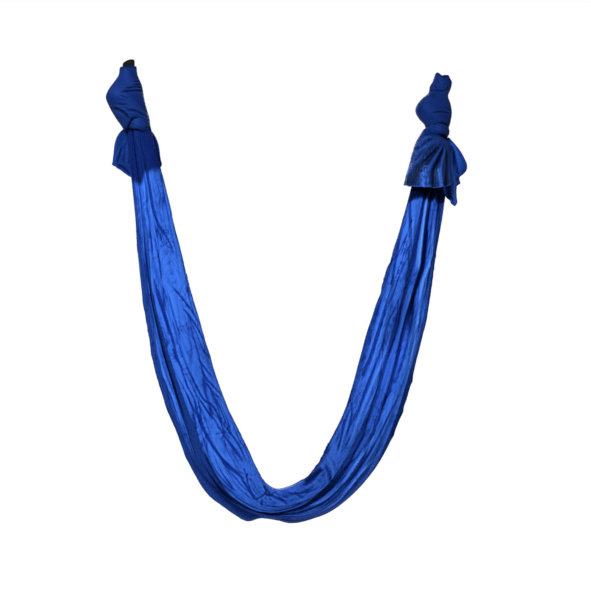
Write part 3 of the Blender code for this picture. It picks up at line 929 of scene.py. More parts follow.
# Half the room between the two halves, in metres: it closes towards the seat.
middle_gap = through(
    (0.0, 0.0095), (0.15, 0.0090), (0.35, 0.0055), (0.65, 0.0055), (0.85, 0.0090), (1.0, 0.0095),
)


def hidden_layer(share, last):
    """Depth of a hidden layer at a share of the way from the middle to the last one."""

    def depth(s):
        arc = front_route.first + s * (front_route.last - front_route.first)
        first = middle_gap(s) / front_route.halves(arc)[1]
        return first + (last - first) * share

    return depth


HIDDEN_FOLDS = 3  # pairs of hidden layers in each half
HIDDEN_INNER = 0.55  # the inner limit of the hidden layers
FRONT_LAST = 0.37  # the depth of the last hidden layer
BACK_LAST = 0.44


def hidden_corners(last):
    """Layers in pairs, each pair joined by a round fold at its outer limit."""
    corners = []
    for k in range(HIDDEN_FOLDS):
        first, second = (k + 0.05) / HIDDEN_FOLDS, (k + 0.95) / HIDDEN_FOLDS
        corners += [
            (HIDDEN_INNER, hidden_layer(first, last), 0.003, COARSE),
            (hidden_reach, hidden_layer(first, last), 0.003, COARSE),
            (hidden_reach, hidden_layer(second, last), 0.003, COARSE),
            (HIDDEN_INNER, hidden_layer(second, last), 0.003, COARSE),
        ]
    return corners


# %% Front of the sling
front_band, band_width, cloth_length = stack(
    "sling_front_band", front_route, -1, STATION, front_corners, 11, 1.0, furrows=FURROWS
)
front_pleats, pleats_width, _ = stack(
    "sling_front_pleats", front_route, -1, PLEAT_STATION, pleat_corners, 37, 0.7, furrows=PLEAT_FURROWS
)
front_inner, front_inner_width, _ = stack(
    "sling_front_inner", front_route, -1, HIDDEN_STATION, hidden_corners(FRONT_LAST), 53, 0.3
)

# %% [markdown]
# ### Back of the sling
#
# The back half is the far edge of the same sheet. Its outer part wraps round the side as one
# soft lobe, which hangs a little lower than the front at the left of the seat. Two visible
# stacks are enough, because the back shows broad faces rather than pleats.

# %% Back of the sling
# Where the lobe that wraps round the outer side ends on the back face.
back_edge = through(
    (0.0, -0.05), (0.15, 0.15), (0.35, -0.20), (0.5, 0.30), (0.65, 0.05), (0.85, -0.25),
    (1.0, 0.0),
)


BACK_FINE = FINE * 1.3  # the back's broad faces need fewer vertices

lobe_corners = [
    (0.10, 0.24, 0.004, COARSE),
    (shifted(lobe_reach, 0.16), 0.20, 0.030, 0.0045),
    (lobe_reach, 0.40, 0.020, BACK_FINE),
    (shifted(lobe_reach, 0.12), 0.68, 0.030, BACK_FINE),
    (shifted(lobe_reach, 0.43), 0.90, 0.040, BACK_FINE),
    (shifted(back_edge, -0.25), on_face(shifted(back_edge, -0.25), 0.99), 0.040, BACK_FINE),
    (back_edge, on_face(back_edge, 0.96), 0.004, BACK_FINE),
    (shifted(back_edge, -0.25), on_face(back_edge, 0.70), 0.008, BACK_FINE),
    (shifted(back_edge, -0.60), 0.55, 0.010, COARSE),
]
back_corners = [
    (shifted(back_edge, -0.45), 0.48, 0.004, COARSE),
    (shifted(back_edge, 0.02), on_face(back_edge, 0.80), 0.020, BACK_FINE),
    (0.62, 0.84, 0.030, BACK_FINE),
    (shifted(inner_reach, -0.11), 0.62, 0.020, BACK_FINE),
    (inner_reach, 0.40, 0.012, BACK_FINE),
    (shifted(inner_reach, -0.06), 0.30, 0.008, BACK_FINE),
    (-0.30, 0.34, 0.010, COARSE),
]
back_lobe, lobe_width, _ = stack(
    "sling_back_lobe", back_route, 1, STATION, lobe_corners, 71, 0.55
)
back_band, back_width, _ = stack(
    "sling_back_band", back_route, 1, STATION, back_corners, 83, 1.0
)
back_inner, back_inner_width, _ = stack(
    "sling_back_inner", back_route, 1, HIDDEN_STATION, hidden_corners(BACK_LAST), 97, 0.5
)

# %% [markdown]
# ### Middle of the sling
#
# Between the halves the cloth runs on, folded to and fro. It is what spreads out into a seat
# when the halves are drawn apart. Here it is a zigzag whose ends reach a little way into both
# halves.

# %% Middle of the sling
WEB_DEPTH = 0.0045
WEB_CORNERS = 7
WEB_ROOT = 0.0020  # how far the web's ends reach into the two halves
WEB_RADIUS = 0.002
# Painted shade over the whole web, which lies deep between the halves.
WEB_SHADE = 0.5
WIDEST = 100  # the percentile that is the largest of the widths


def web(name):
    """The cloth between the two halves, which spreads out as they open, and its width."""
    arc = stations(back_route, HIDDEN_STATION)
    s = shares(back_route, arc)
    half_width, _ = back_route.halves(arc)
    root = middle_gap(s) + WEB_ROOT
    lines = []
    for k in range(WEB_CORNERS):
        w = hidden_reach(s) if k % 2 else np.full_like(s, HIDDEN_INNER)
        share = 2 * k / (WEB_CORNERS - 1) - 1
        depth = share * (root if abs(share) == 1 else WEB_DEPTH + 0 * s)
        lines.append((w * half_width, depth))
    section = rounded_line(lines, [WEB_RADIUS] * WEB_CORNERS, [COARSE] * (WEB_CORNERS - 1))
    grid, u, v = swept(back_route, arc, section, 1, WIDEST)
    width = area_of(grid) / (arc[-1] - arc[0])
    return cloth_piece(name, grid, u, v, 0.0, WEB_SHADE), width


sling_web, web_width = web("sling_web")

# %% [markdown]
# ## Knots
#
# Near each end the cloth is tied on itself. What shows is one smooth outer turn that runs
# from the neck, over a lump, down to the waist. A ring of vertices at every height, moved to
# the knot's outline, gives the lump. Its winding wrinkles are noise on slanting coordinates.

# %% Round pieces
def finish_round(name, mesh, angle, side, radius, relief):
    """Give a ring of faces its UV map and relief, and point the faces outwards."""
    corner = corners_of(mesh)
    turn = angle[corner].reshape(-1, 4)
    turn = np.where(turn < turn.max(axis=1, keepdims=True) - math.pi, turn + 2 * math.pi, turn)
    wrapped = np.stack([turn.ravel() * radius, side[corner]], axis=-1)
    mesh.uv_layers.new(name="UVMap").data.foreach_set("uv", wrapped.astype(np.float32).ravel())
    keep_value(mesh, "relief", relief + 0 * angle)
    keep_value(mesh, "shade", 0 * angle)
    bm = bmesh.new()
    bm.from_mesh(mesh)
    bmesh.ops.recalc_face_normals(bm, faces=bm.faces)
    bm.to_mesh(mesh)
    bm.free()
    print(name, len(mesh.polygons), "faces")
    return finished(name, mesh)


def round_piece(name, segments, rings, radius, shape):
    """An open tube; shape turns angles and shares of its height into places and a relief."""
    bm = bmesh.new()
    bmesh.ops.create_cone(
        bm, cap_ends=False, segments=segments, radius1=1.0, radius2=1.0, depth=1.0
    )
    upright = [edge for edge in bm.edges if abs(edge.verts[0].co.z - edge.verts[1].co.z) > 0.5]
    bmesh.ops.subdivide_edges(bm, edges=upright, cuts=rings - 2, use_grid_fill=True)
    mesh = mesh_from(bm, name)
    place = places_of(mesh)
    angle = np.arctan2(place[:, 1], place[:, 0])
    down = 0.5 - place[:, 2]
    moved, relief = shape(angle, down)
    move_vertices(mesh, moved)
    return finish_round(name, mesh, angle, moved[:, 2], radius, relief)


# %% Wound knots
LIP_SHARE = 0.07  # of the knot's rings turn inwards at its top
KNOT_SEGMENTS = 200
KNOT_RINGS = 160
KNOT_RADIUS = 0.05  # turns angles into metres for the UV map
SQUARENESS = 0.94  # 1 is an ellipse, and less is boxier


def wound_knot(name, left, right, deep, bottom, rim, folds, seed):
    """The outer turn of a knot.

    left, right and deep are outlines as (height, value) keys, bottom is its lower edge as
    (place across, height) keys, rim is its upper edge as (place across, offset) keys,
    and folds are named furrows on the front, as (depth, width, [(x, z), ...]).
    """
    top = left[0][0]

    def shape(angle, down):
        wrap_x, wrap_y = np.cos(angle), np.sin(angle)
        lower = keyed(wrap_x, *bottom)
        inside = np.clip((LIP_SHARE - down) / LIP_SHARE, 0.0, 1.0)
        t = np.clip((down - LIP_SHARE) / (1 - LIP_SHARE), 0.0, 1.0)
        z = top + (lower - top) * t
        x_left, x_right = keyed(z, *sorted(left)), keyed(z, *sorted(right))
        half = (x_right - x_left) / 2 + 0.0015
        middle = (x_right + x_left) / 2
        depth = keyed(z, *sorted(deep))
        shrink = 1 - 0.35 * np.sin(inside * math.pi / 2)
        z = z - 0.016 * inside**2 + keyed(wrap_x, *rim) * (1 - smooth(t / 0.20))
        x = middle + half * wrap_x
        front = smooth((-wrap_y - 0.05) / 0.25)
        soft = noise(wrap_x * 1.4 + z / 0.06, wrap_y * 1.4 + z / 0.11, seed + 1)
        slant = z / 0.030 + 0.9 * wrap_x
        lines = noise(slant, wrap_y * 1.1 + 0.7 * wrap_x + 5.0, seed + 2)
        some = smooth(0.1 + 1.5 * noise(wrap_x * 1.3 + 2, wrap_y * 1.3 + z / 0.05, seed + 3))
        fine = noise(z / 0.010 + 3 * wrap_x, wrap_y * 3.0 + 2.0 * wrap_x, seed + 4)
        calm = 0.25 + 0.75 * smooth(np.abs(wrap_y) / 0.6)
        lines = -0.0020 * some * crease(lines, 0.12)
        for fold_depth, width, points in folds:
            gap, share = near_line(x, z, smooth_line(points))
            lines = lines + front * furrow(gap, share, fold_depth, width)
        height = calm * (0.0026 * soft + 0.0003 * fine + lines)
        # Painted shade: the relief is lowered at the knot's top rim and lower edge, so both take the
        # darker fold colour; the furrows in the relief get painted shade as well.
        ends = 1 - smooth(t / 0.07) + smooth((t - 0.95) / 0.05)
        relief = calm * (0.0010 * soft + lines) - 0.0030 * ends
        x = middle + (half * shrink + height) * np.sign(wrap_x) * np.abs(wrap_x) ** SQUARENESS
        y = (depth * shrink + height) * np.sign(wrap_y) * np.abs(wrap_y) ** SQUARENESS
        return np.stack([x, y, z], axis=-1), relief

    return round_piece(name, KNOT_SEGMENTS, KNOT_RINGS, KNOT_RADIUS, shape)


# %% The two knots
left_knot = wound_knot(
    "left_knot_cloth",
    left=[
        (-0.004, -0.5800), (-0.034, -0.5850), (-0.056, -0.5985), (-0.082, -0.6160),
        (-0.108, -0.6255), (-0.135, -0.6165), (-0.168, -0.5975), (-0.212, -0.5680), (-0.230, -0.5610),
    ],
    right=[
        (-0.004, -0.5270), (-0.032, -0.5220), (-0.062, -0.5090), (-0.113, -0.4995),
        (-0.154, -0.4885), (-0.175, -0.4815), (-0.192, -0.4800), (-0.206, -0.4860),
    ],
    deep=[
        (-0.004, 0.026), (-0.034, 0.030), (-0.070, 0.042), (-0.110, 0.052),
        (-0.142, 0.051), (-0.165, 0.049), (-0.182, 0.045), (-0.200, 0.038), (-0.230, 0.028),
    ],
    bottom=[
        (-1.0, -0.222), (-0.75, -0.216), (-0.45, -0.202), (-0.15, -0.186), (0.3, -0.187),
        (1.0, -0.200),
    ],
    rim=[(-1.0, -0.003), (0.0, 0.001), (1.0, 0.002)],
    folds=[
        (0.0026, 0.0028, [(-0.512, -0.054), (-0.524, -0.057), (-0.538, -0.062)]),
        (0.0030, 0.0028, [(-0.512, -0.065), (-0.526, -0.069), (-0.543, -0.075)]),
        (0.0034, 0.0030, [(-0.508, -0.076), (-0.532, -0.079), (-0.564, -0.087)]),
        (0.0036, 0.0032, [(-0.504, -0.089), (-0.540, -0.093), (-0.582, -0.101)]),
        (0.0024, 0.0030, [(-0.592, -0.139), (-0.575, -0.142), (-0.560, -0.142)]),
        (0.0050, 0.0036, [(-0.612, -0.148), (-0.585, -0.158), (-0.562, -0.174), (-0.548, -0.190)]),
        (0.0032, 0.0034, [(-0.556, -0.160), (-0.530, -0.162), (-0.498, -0.176)]),
    ],
    seed=201,
)
right_knot = wound_knot(
    "right_knot_cloth",
    left=[
        (0.024, 0.5270), (-0.002, 0.5170), (-0.018, 0.5075), (-0.044, 0.5010),
        (-0.066, 0.4760), (-0.106, 0.4550), (-0.136, 0.4700), (-0.156, 0.4880), (-0.170, 0.4920),
    ],
    right=[
        (0.024, 0.5760), (0.010, 0.5830), (-0.008, 0.5840), (-0.029, 0.5790), (-0.049, 0.5705),
        (-0.083, 0.5770), (-0.119, 0.5810), (-0.150, 0.5760), (-0.180, 0.5650),
    ],
    deep=[
        (0.024, 0.022), (-0.020, 0.028), (-0.044, 0.030), (-0.075, 0.044),
        (-0.106, 0.052), (-0.130, 0.050), (-0.148, 0.045), (-0.170, 0.040), (-0.180, 0.036),
    ],
    bottom=[(-1.0, -0.170), (-0.5, -0.163), (0.1, -0.157), (0.5, -0.160), (1.0, -0.168)],
    rim=[(-1.0, 0.003), (-0.85, 0.004), (-0.3, -0.007), (0.1, -0.009), (0.45, -0.004), (1.0, -0.014)],
    folds=[
        (0.0024, 0.0034, [(0.488, -0.040), (0.512, -0.038), (0.552, -0.042)]),
        (0.0026, 0.0030, [(0.500, -0.128), (0.518, -0.121), (0.548, -0.120), (0.568, -0.126)]),
        (0.0022, 0.0030, [(0.545, -0.100), (0.560, -0.108), (0.572, -0.112)]),
        (0.0016, 0.0032, [(0.531, 0.018), (0.530, 0.004), (0.526, -0.006)]),
        (0.0024, 0.0034, [(0.565, -0.020), (0.560, -0.032), (0.548, -0.038)]),
    ],
    seed=231,
)

# %% [markdown]
# ### The lowest turn
#
# Under each lump the cloth goes once round the waist as a flattened roll. A circle spun into
# a ring has one angle round the waist and one round the roll, and both steer its shape.

# %% Rolled turns
TURN_STEPS = 200  # round the waist
ROLL_SEGMENTS = 72  # round the roll


def rolled_turn(name, middle, radii, roll, tilt, seed):
    """A flattened roll of cloth round the waist; roll is its half height and half thickness."""
    bm = bmesh.new()
    bmesh.ops.create_circle(bm, cap_ends=False, segments=ROLL_SEGMENTS, radius=0.25)
    bmesh.ops.rotate(bm, verts=bm.verts, matrix=Matrix.Rotation(math.pi / 2, 3, "X"))
    bmesh.ops.translate(bm, verts=bm.verts, vec=(1.0, 0.0, 0.0))
    bmesh.ops.spin(
        bm,
        geom=bm.verts[:] + bm.edges[:],
        cent=(0, 0, 0),
        axis=(0, 0, 1),
        angle=2 * math.pi,
        steps=TURN_STEPS,
        use_merge=True,
    )
    mesh = mesh_from(bm, name)
    place = places_of(mesh)
    angle = np.arctan2(place[:, 1], place[:, 0])
    away = np.hypot(place[:, 0], place[:, 1]) - 1.0
    section = np.arctan2(place[:, 2], away)
    around_x, around_y = np.cos(angle), np.sin(angle)
    drift = section / 2.1
    lines = noise(3.0 * drift + 0.8 * around_x, around_y * 1.3, seed)
    fine_lines = noise(7.0 * drift + 1.5 * around_x, around_y * 2.5, seed + 1)
    soft = noise(around_x * 1.5 + 4.0, around_y * 1.5 + np.sin(section), seed + 2)
    sharp = -0.0022 * crease(lines, 0.14) - 0.0008 * crease(fine_lines, 0.14)
    height = (0.0020 * soft + sharp) * (0.5 + 0.5 * np.cos(section)) ** 0.3
    # The relief picks the colour: painted shade in the creases, and a painted highlight on the roll's
    # front that fades towards its top and bottom.
    relief = sharp + 0.0007 * soft + 0.0016 * np.cos(section)
    out = (roll[1] + height) * np.cos(section)
    up = (roll[0] + height) * np.sin(section)
    x = (radii[0] + out) * around_x
    y = (radii[1] + out) * around_y
    tilted_x = x * math.cos(tilt) + up * math.sin(tilt)
    tilted_z = up * math.cos(tilt) - x * math.sin(tilt)
    moved = np.stack([middle[0] + tilted_x, middle[1] + y, middle[2] + tilted_z], axis=-1)
    move_vertices(mesh, moved)
    return finish_round(name, mesh, angle, section * roll[0], radii[0], relief)


left_turn = rolled_turn(
    "left_knot_turn", (-0.5170, 0.0, -0.202), (0.0310, 0.0390), (0.0200, 0.0095), math.radians(12), 251
)
right_turn = rolled_turn(
    "right_knot_turn", (0.5310, 0.0, -0.178), (0.0335, 0.0385), (0.0190, 0.0095), math.radians(8), 263
)

# %% [markdown]
# ## Tails
#
# The ends of the cloth come out of the knots and flare. Each is a piece of a bell: gathered
# tight at the top, wide and wavy at the hem. The waves are the gathers' own folds, so they
# run from the top to the hem and grow on the way down.

# %% Flared tails
BELL_COLUMNS = 210
BELL_ROWS = 120
TUCK = 0.20  # how much narrower a tail starts inside the knot
TAIL_EDGE = 0.016  # the depth of the left tail's wings
HEM_FLARE = 0.0030


def bell(
    facing, span, top, left, right, deep, profile, hem, waves, gathers, glints, folds, seed
):
    """A gathered flare round a strand.

    span is its reach round the strand to both sides, in degrees, and profile its depth for
    every angle. waves are (number to a radian, size), and gathers the strength of the small
    creases. folds are named ones, drawn as (depth, width, growth, [(x, z), ...]); those that
    reach the hem stay open there. glints are painted highlights, drawn without a growth.
    """

    def outline(z, keys):
        return keyed(z, *sorted(keys))

    u = np.linspace(-span[0], span[1], BELL_COLUMNS)
    t = np.linspace(0.0, 1.0, BELL_ROWS)
    turn, down = np.meshgrid(np.radians(u), t)
    share = (turn - turn.min()) / (turn.max() - turn.min())
    hem_height = keyed(share, *hem)
    top_height = keyed(share, *top)
    z = top_height + (hem_height - top_height) * down
    x_left, x_right = outline(z, left), outline(z, right)
    tuck = 1 - TUCK * (1 - smooth(down / 0.07))
    half, middle = (x_right - x_left) / 2 * tuck, (x_right + x_left) / 2
    depth = outline(z, deep) * tuck
    x = middle + half * np.sin(turn)
    count, size = waves
    along = turn * count + 1.2 * noise(turn * 1.6, down * 1.6, seed)
    wave = np.sin(along) + 0.40 * np.sin(along * 2.3 + 1.7 + down)
    pinch = noise(turn * count * 1.9, down * 1.8, seed + 1)
    small = noise(turn * count * 3.6, down * 3.4 + 4, seed + 2)
    lines = noise(turn * count * 1.1 + 0.8 * down, down * 2.8, seed + 3)
    soft = size * wave * down**0.8 * 0.6 + gathers * (0.0018 * pinch + 0.0009 * small)
    sharp = -0.0024 * gathers * crease(lines, 0.12) * smooth(down * 4)
    for fold_depth, width, growth, points in folds:
        gap, far = near_line(x, z, smooth_line(points))
        sharp = sharp + furrow(gap, far, fold_depth, width, growth, open_end=True)
    # Painted highlights along the hem and along each glint line, stored as negative shade.
    shine = 0.35 * smooth((down - 0.975) / 0.02)
    for strength, width, points in glints:
        gap, far = near_line(x, z, smooth_line(points))
        broken = smooth(0.55 + 1.3 * noise(x / 0.007, z / 0.012, seed + 5))
        shine = np.maximum(shine, strength * broken * np.exp(-((gap / width) ** 2)))
    edge = HEM_FLARE * smooth((down - 0.95) / 0.05) - 0.0016 * crease(down - 0.925, 0.008)
    height = (soft + sharp + edge) * (0.25 + 0.75 * smooth(down / 0.12))
    # The relief picks the colour: painted shade in the folds and the hem's crease, a painted highlight
    # on the flared hem.
    relief = 0.4 * soft + 0.8 * sharp + 0.6 * edge
    x = middle + (half + 0.30 * height) * np.sin(turn)
    y = facing * (profile(turn, depth) + height * np.abs(np.cos(turn)) ** 0.5)
    z = z + 0.003 * noise(turn * 4.0, 0.3, seed + 4) * down
    grid = np.stack([x, y, z], axis=-1)
    width = np.linalg.norm(np.diff(grid, axis=1), axis=-1).sum(axis=1).max()
    length = float(np.abs(hem_height - top_height).mean())
    print("tail area", round(area_of(grid), 4), "m2, across", round(float(width), 3), "m")
    return grid, share * width, down * length, relief, -shine


def rounded(turn, depth):
    """A skirt stands out round the strand like half a drum."""
    return depth * np.cos(turn)


def dished(turn, depth):
    """The left tail's wings lie nearly flat, and its middle dips behind the strand."""
    return TAIL_EDGE + (depth - TAIL_EDGE) * (1 - np.abs(np.sin(turn)) ** 1.5)


# %% The left tail and the skirt
LEFT_TAIL = bell(
    facing=1,
    span=(90, 90),
    top=[(0.0, -0.190), (0.5, -0.200), (1.0, -0.190)],
    left=[
        (-0.190, -0.5520), (-0.206, -0.5610), (-0.222, -0.5770), (-0.240, -0.5880), (-0.262, -0.5945),
        (-0.300, -0.5985), (-0.340, -0.6030), (-0.380, -0.6060),
    ],
    right=[
        (-0.190, -0.4860), (-0.206, -0.4780), (-0.222, -0.4650), (-0.240, -0.4545), (-0.262, -0.4465),
        (-0.300, -0.4405), (-0.340, -0.4340), (-0.380, -0.4310),
    ],
    deep=[(-0.190, 0.030), (-0.206, 0.036), (-0.240, 0.046), (-0.300, 0.060), (-0.380, 0.070)],
    profile=dished,
    hem=[
        (0.0, -0.333), (0.10, -0.336), (0.247, -0.343), (0.357, -0.356),
        (0.45, -0.367), (0.60, -0.362), (0.80, -0.345), (1.0, -0.324),
    ],
    waves=(2.2, 0.0024),
    gathers=0.30,
    glints=[],
    folds=[
        (0.0030, 0.0040, 0.5, [(-0.541, -0.236), (-0.543, -0.270), (-0.542, -0.310)]),
        (0.0034, 0.0036, 0.0, [(-0.590, -0.326), (-0.574, -0.331), (-0.558, -0.340), (-0.545, -0.352)]),
        (0.0024, 0.0030, 0.4, [(-0.572, -0.262), (-0.580, -0.290), (-0.588, -0.318)]),
        (0.0050, 0.0040, 0.3, [(-0.470, -0.250), (-0.460, -0.282), (-0.456, -0.306), (-0.446, -0.338)]),
    ],
    seed=301,
)
SKIRT = bell(
    facing=-1,
    span=(100, 74),
    top=[
        (0.0, -0.160), (0.12, -0.166), (0.24, -0.180), (0.36, -0.193), (0.55, -0.193),
        (0.836, -0.208), (1.0, -0.213),
    ],
    left=[
        (-0.150, 0.4930), (-0.165, 0.4860), (-0.180, 0.4770), (-0.216, 0.4550),
        (-0.252, 0.4420), (-0.306, 0.4270), (-0.370, 0.4070), (-0.400, 0.3980),
    ],
    right=[(-0.150, 0.5680), (-0.205, 0.5720), (-0.260, 0.5760), (-0.330, 0.5790), (-0.400, 0.5800)],
    deep=[(-0.150, 0.032), (-0.200, 0.042), (-0.260, 0.057), (-0.330, 0.068), (-0.400, 0.074)],
    profile=rounded,
    hem=[(0.0, -0.370), (0.15, -0.379), (0.45, -0.390), (0.70, -0.389), (0.85, -0.376), (1.0, -0.362)],
    waves=(5.0, 0.0032),
    gathers=0.60,
    # Painted highlights on the skirt, mostly near its hem.
    glints=[
        (0.90, 0.0080, [(0.470, -0.318), (0.458, -0.345), (0.458, -0.392)]),
        (0.70, 0.0060, [(0.468, -0.350), (0.472, -0.375), (0.474, -0.394)]),
        (0.70, 0.0045, [(0.512, -0.325), (0.516, -0.355), (0.520, -0.385)]),
        (0.35, 0.0060, [(0.446, -0.268), (0.428, -0.300), (0.412, -0.345)]),
        (0.20, 0.0050, [(0.490, -0.210), (0.466, -0.228), (0.450, -0.250)]),
    ],
    folds=[
        (-0.0030, 0.0040, 0.2, [(0.500, -0.204), (0.470, -0.212), (0.452, -0.238)]),
        (0.0040, 0.0036, 0.2, [(0.506, -0.211), (0.472, -0.226), (0.448, -0.250)]),
        (-0.0032, 0.0036, 0.2, [(0.505, -0.218), (0.470, -0.244), (0.441, -0.262)]),
        (0.0055, 0.0050, 0.5, [(0.512, -0.232), (0.480, -0.260), (0.440, -0.288)]),
        (-0.0042, 0.0032, 0.2, [(0.488, -0.254), (0.464, -0.272), (0.438, -0.304), (0.414, -0.344)]),
        (0.0090, 0.0080, 0.7, [
            (0.530, -0.235), (0.490, -0.276), (0.450, -0.320), (0.424, -0.365), (0.416, -0.385),
        ]),
        (-0.0060, 0.0034, 1.6, [
            (0.540, -0.235), (0.513, -0.270), (0.487, -0.310), (0.468, -0.352), (0.461, -0.392),
        ]),
        (0.0090, 0.0045, 1.1, [(0.542, -0.238), (0.516, -0.288), (0.500, -0.330), (0.496, -0.392)]),
        (-0.0065, 0.0028, 0.9, [(0.545, -0.245), (0.530, -0.290), (0.522, -0.333), (0.524, -0.390)]),
        (0.0080, 0.0040, 0.9, [(0.551, -0.245), (0.548, -0.304), (0.543, -0.388)]),
    ],
    seed=331,
)

# %% [markdown]
# ### The skirt in two
#
# The top of the skirt is tied to the knot and stays with it, while the rest lies on the front
# half of the cloth and swings out with it. So it is two pieces that meet in one line, and the
# lower one runs on a little way inside the upper one, like a sleeve, to cover the joint.

# %% Tail pieces
SKIRT_SPLIT = -0.218
SLEEVE = 0.020
SLEEVE_INSET = 0.12
ALL_ROWS = (-1.0, 0.0)  # heights below and above every tail
FINE_CRINKLES = 1.08  # flat size over modelled size, by judgement, for finer crinkles


def part_of(name, made, low, high, inset=0.0):
    """The rows of a tail between two heights; an inset draws them in above the split."""
    grid, u, v, height, shade = made
    middle = grid[..., 2].mean(axis=1)
    rows = np.nonzero((middle <= high) & (middle >= low))[0]
    grid = grid[rows].copy()
    if inset:
        above = smooth((middle[rows] - SKIRT_SPLIT) / SLEEVE)[:, None, None]
        axis = grid.mean(axis=1, keepdims=True) * np.array([1.0, 0.0, 1.0])
        grid = grid + (axis - grid) * above * inset
    piece = cloth_piece(name, grid, u[rows], v[rows], height[rows], shade[rows])
    area = area_of(grid)
    across = float(np.ptp(u[rows]))
    print(name, grid.shape[:2], "area", round(area, 4), "m2")
    return piece, (across, area * FINE_CRINKLES / across)


split_row = np.abs(SKIRT[0][..., 2].mean(axis=1) - SKIRT_SPLIT).argmin()
split_height = SKIRT[0][split_row, :, 2].mean()
left_tail, left_tail_flat = part_of("left_tail_cloth", LEFT_TAIL, *ALL_ROWS)
skirt_top, skirt_top_flat = part_of("right_skirt_collar", SKIRT, split_height - 1e-6, ALL_ROWS[1])
skirt, skirt_flat = part_of(
    "right_skirt_cloth", SKIRT, ALL_ROWS[0], split_height + SLEEVE, inset=SLEEVE_INSET
)

# %% [markdown]
# ### The corner of the cloth
#
# At the outer side of the right strand one corner of the sheet comes out of the knot alone.
# It hangs nearly flat, so it needs no bell: a grid between an inner and an outer outline is
# enough, with soft waves that fade in below the knot.

# %% Flap
FLAP_GRID = 150  # rows and columns
FLAP_TOP = -0.200
FLAP_BOTTOM = -0.443
FLAP_INNER = [
    (-0.200, 0.5600), (-0.260, 0.5520), (-0.340, 0.5460), (-0.385, 0.5460), (-0.4125, 0.5550),
    (-0.4261, 0.5690), (-0.4406, 0.5780), (-0.443, 0.5840),
]
# The line of the flap's painted highlight.
FLAP_GLINT = [(0.578, -0.300), (0.584, -0.370), (0.590, -0.440)]
FLAP_FOLDS = [
    (0.0080, 0.0060, 0.6, [(0.568, -0.232), (0.563, -0.293), (0.560, -0.363), (0.564, -0.412)]),
    (-0.0060, 0.0045, 0.8, [(0.574, -0.240), (0.580, -0.310), (0.586, -0.380), (0.591, -0.436)]),
    (0.0045, 0.0035, 0.5, [(0.588, -0.233), (0.595, -0.275), (0.604, -0.325)]),
    (-0.0012, 0.0040, 0.4, [(0.598, -0.240), (0.612, -0.275), (0.622, -0.305)]),
]
FLAP_OUTER = [
    (-0.200, 0.5740), (-0.242, 0.6120), (-0.270, 0.6300), (-0.297, 0.6405),
    (-0.315, 0.6370), (-0.328, 0.6260), (-0.338, 0.6130), (-0.352, 0.6120),
    (-0.362, 0.6140), (-0.370, 0.6030), (-0.380, 0.6010), (-0.410, 0.6000),
    (-0.436, 0.5990), (-0.443, 0.5920),
]


def corner_flap(name, seed):
    """The corner of the cloth that hangs at the outer side of the right strand."""
    t = np.linspace(0.0, 1.0, FLAP_GRID)
    s = np.linspace(0.0, 1.0, FLAP_GRID)
    share, down = np.meshgrid(s, t)
    z = FLAP_TOP + (FLAP_BOTTOM - FLAP_TOP) * down
    inner = keyed(z, *sorted(FLAP_INNER))
    outer = keyed(z, *sorted(FLAP_OUTER))
    x = inner + (outer - inner) * share
    spread = smooth(down / 0.2)
    soft = np.sin(share * 11.0 + 1.5 * noise(share * 2.0, down * 2.0, seed)) * 0.0036
    soft = (soft + 0.0024 * noise(share * 6.0, down * 3.0, seed + 1)) * spread
    sharp = -0.0016 * crease(noise(share * 5.0, down * 2.5, seed + 2), 0.14)
    for fold_depth, width, growth, points in FLAP_FOLDS:
        gap, far = near_line(x, z, smooth_line(points))
        sharp = sharp + furrow(gap, far, fold_depth, width, growth, open_end=True)
    height = soft + sharp
    y = -0.004 - height - 0.016 * smooth(down) * (1 - share)
    z = z + 0.006 * noise(share * 4.0, 2.0, seed + 3) * smooth((down - 0.7) / 0.3)
    grid = np.stack([x, y, z], axis=-1)
    length = FLAP_TOP - FLAP_BOTTOM
    area = area_of(grid)
    width = area / length
    print(name, grid.shape[:2], "area", round(area, 4), "m2")
    # The relief picks the colour: painted shade in the folds. shine is a painted highlight along
    # FLAP_GLINT, stored as negative shade.
    relief = 0.4 * soft + 0.8 * sharp
    gap, _ = near_line(x, z, FLAP_GLINT)
    shine = -0.55 * np.exp(-((gap / 0.008) ** 2))
    piece = cloth_piece(name, grid, share * width, down * length, relief, shine)
    return piece, (width * FINE_CRINKLES, length)


flap, flap_flat = corner_flap("right_flap_cloth", 361)

# %% [markdown]
# ## Webbing loops
#
# A band of black webbing is sewn into a ring at each end, and the cloth is tied round it.
# Only the top of the left one shows. The band's section is a flat rectangle of four
# vertices, spun all the way round the swing line. Bevelled edges make the band's soft selvage.

# %% Webbing
BAND_THICKNESS = 0.0030
BAND_CUTS = 9  # across the band, so that it can slant
SELVAGE = 0.35  # the bevel, as a share of the thickness
LOOP_STEPS = 96
LOOP_SLANT = 0.0055
SAME = 1e-6  # lengths that differ by less are taken as equal


def same(first, second):
    """Whether two lengths are equal, but for rounding."""
    return abs(first - second) < SAME


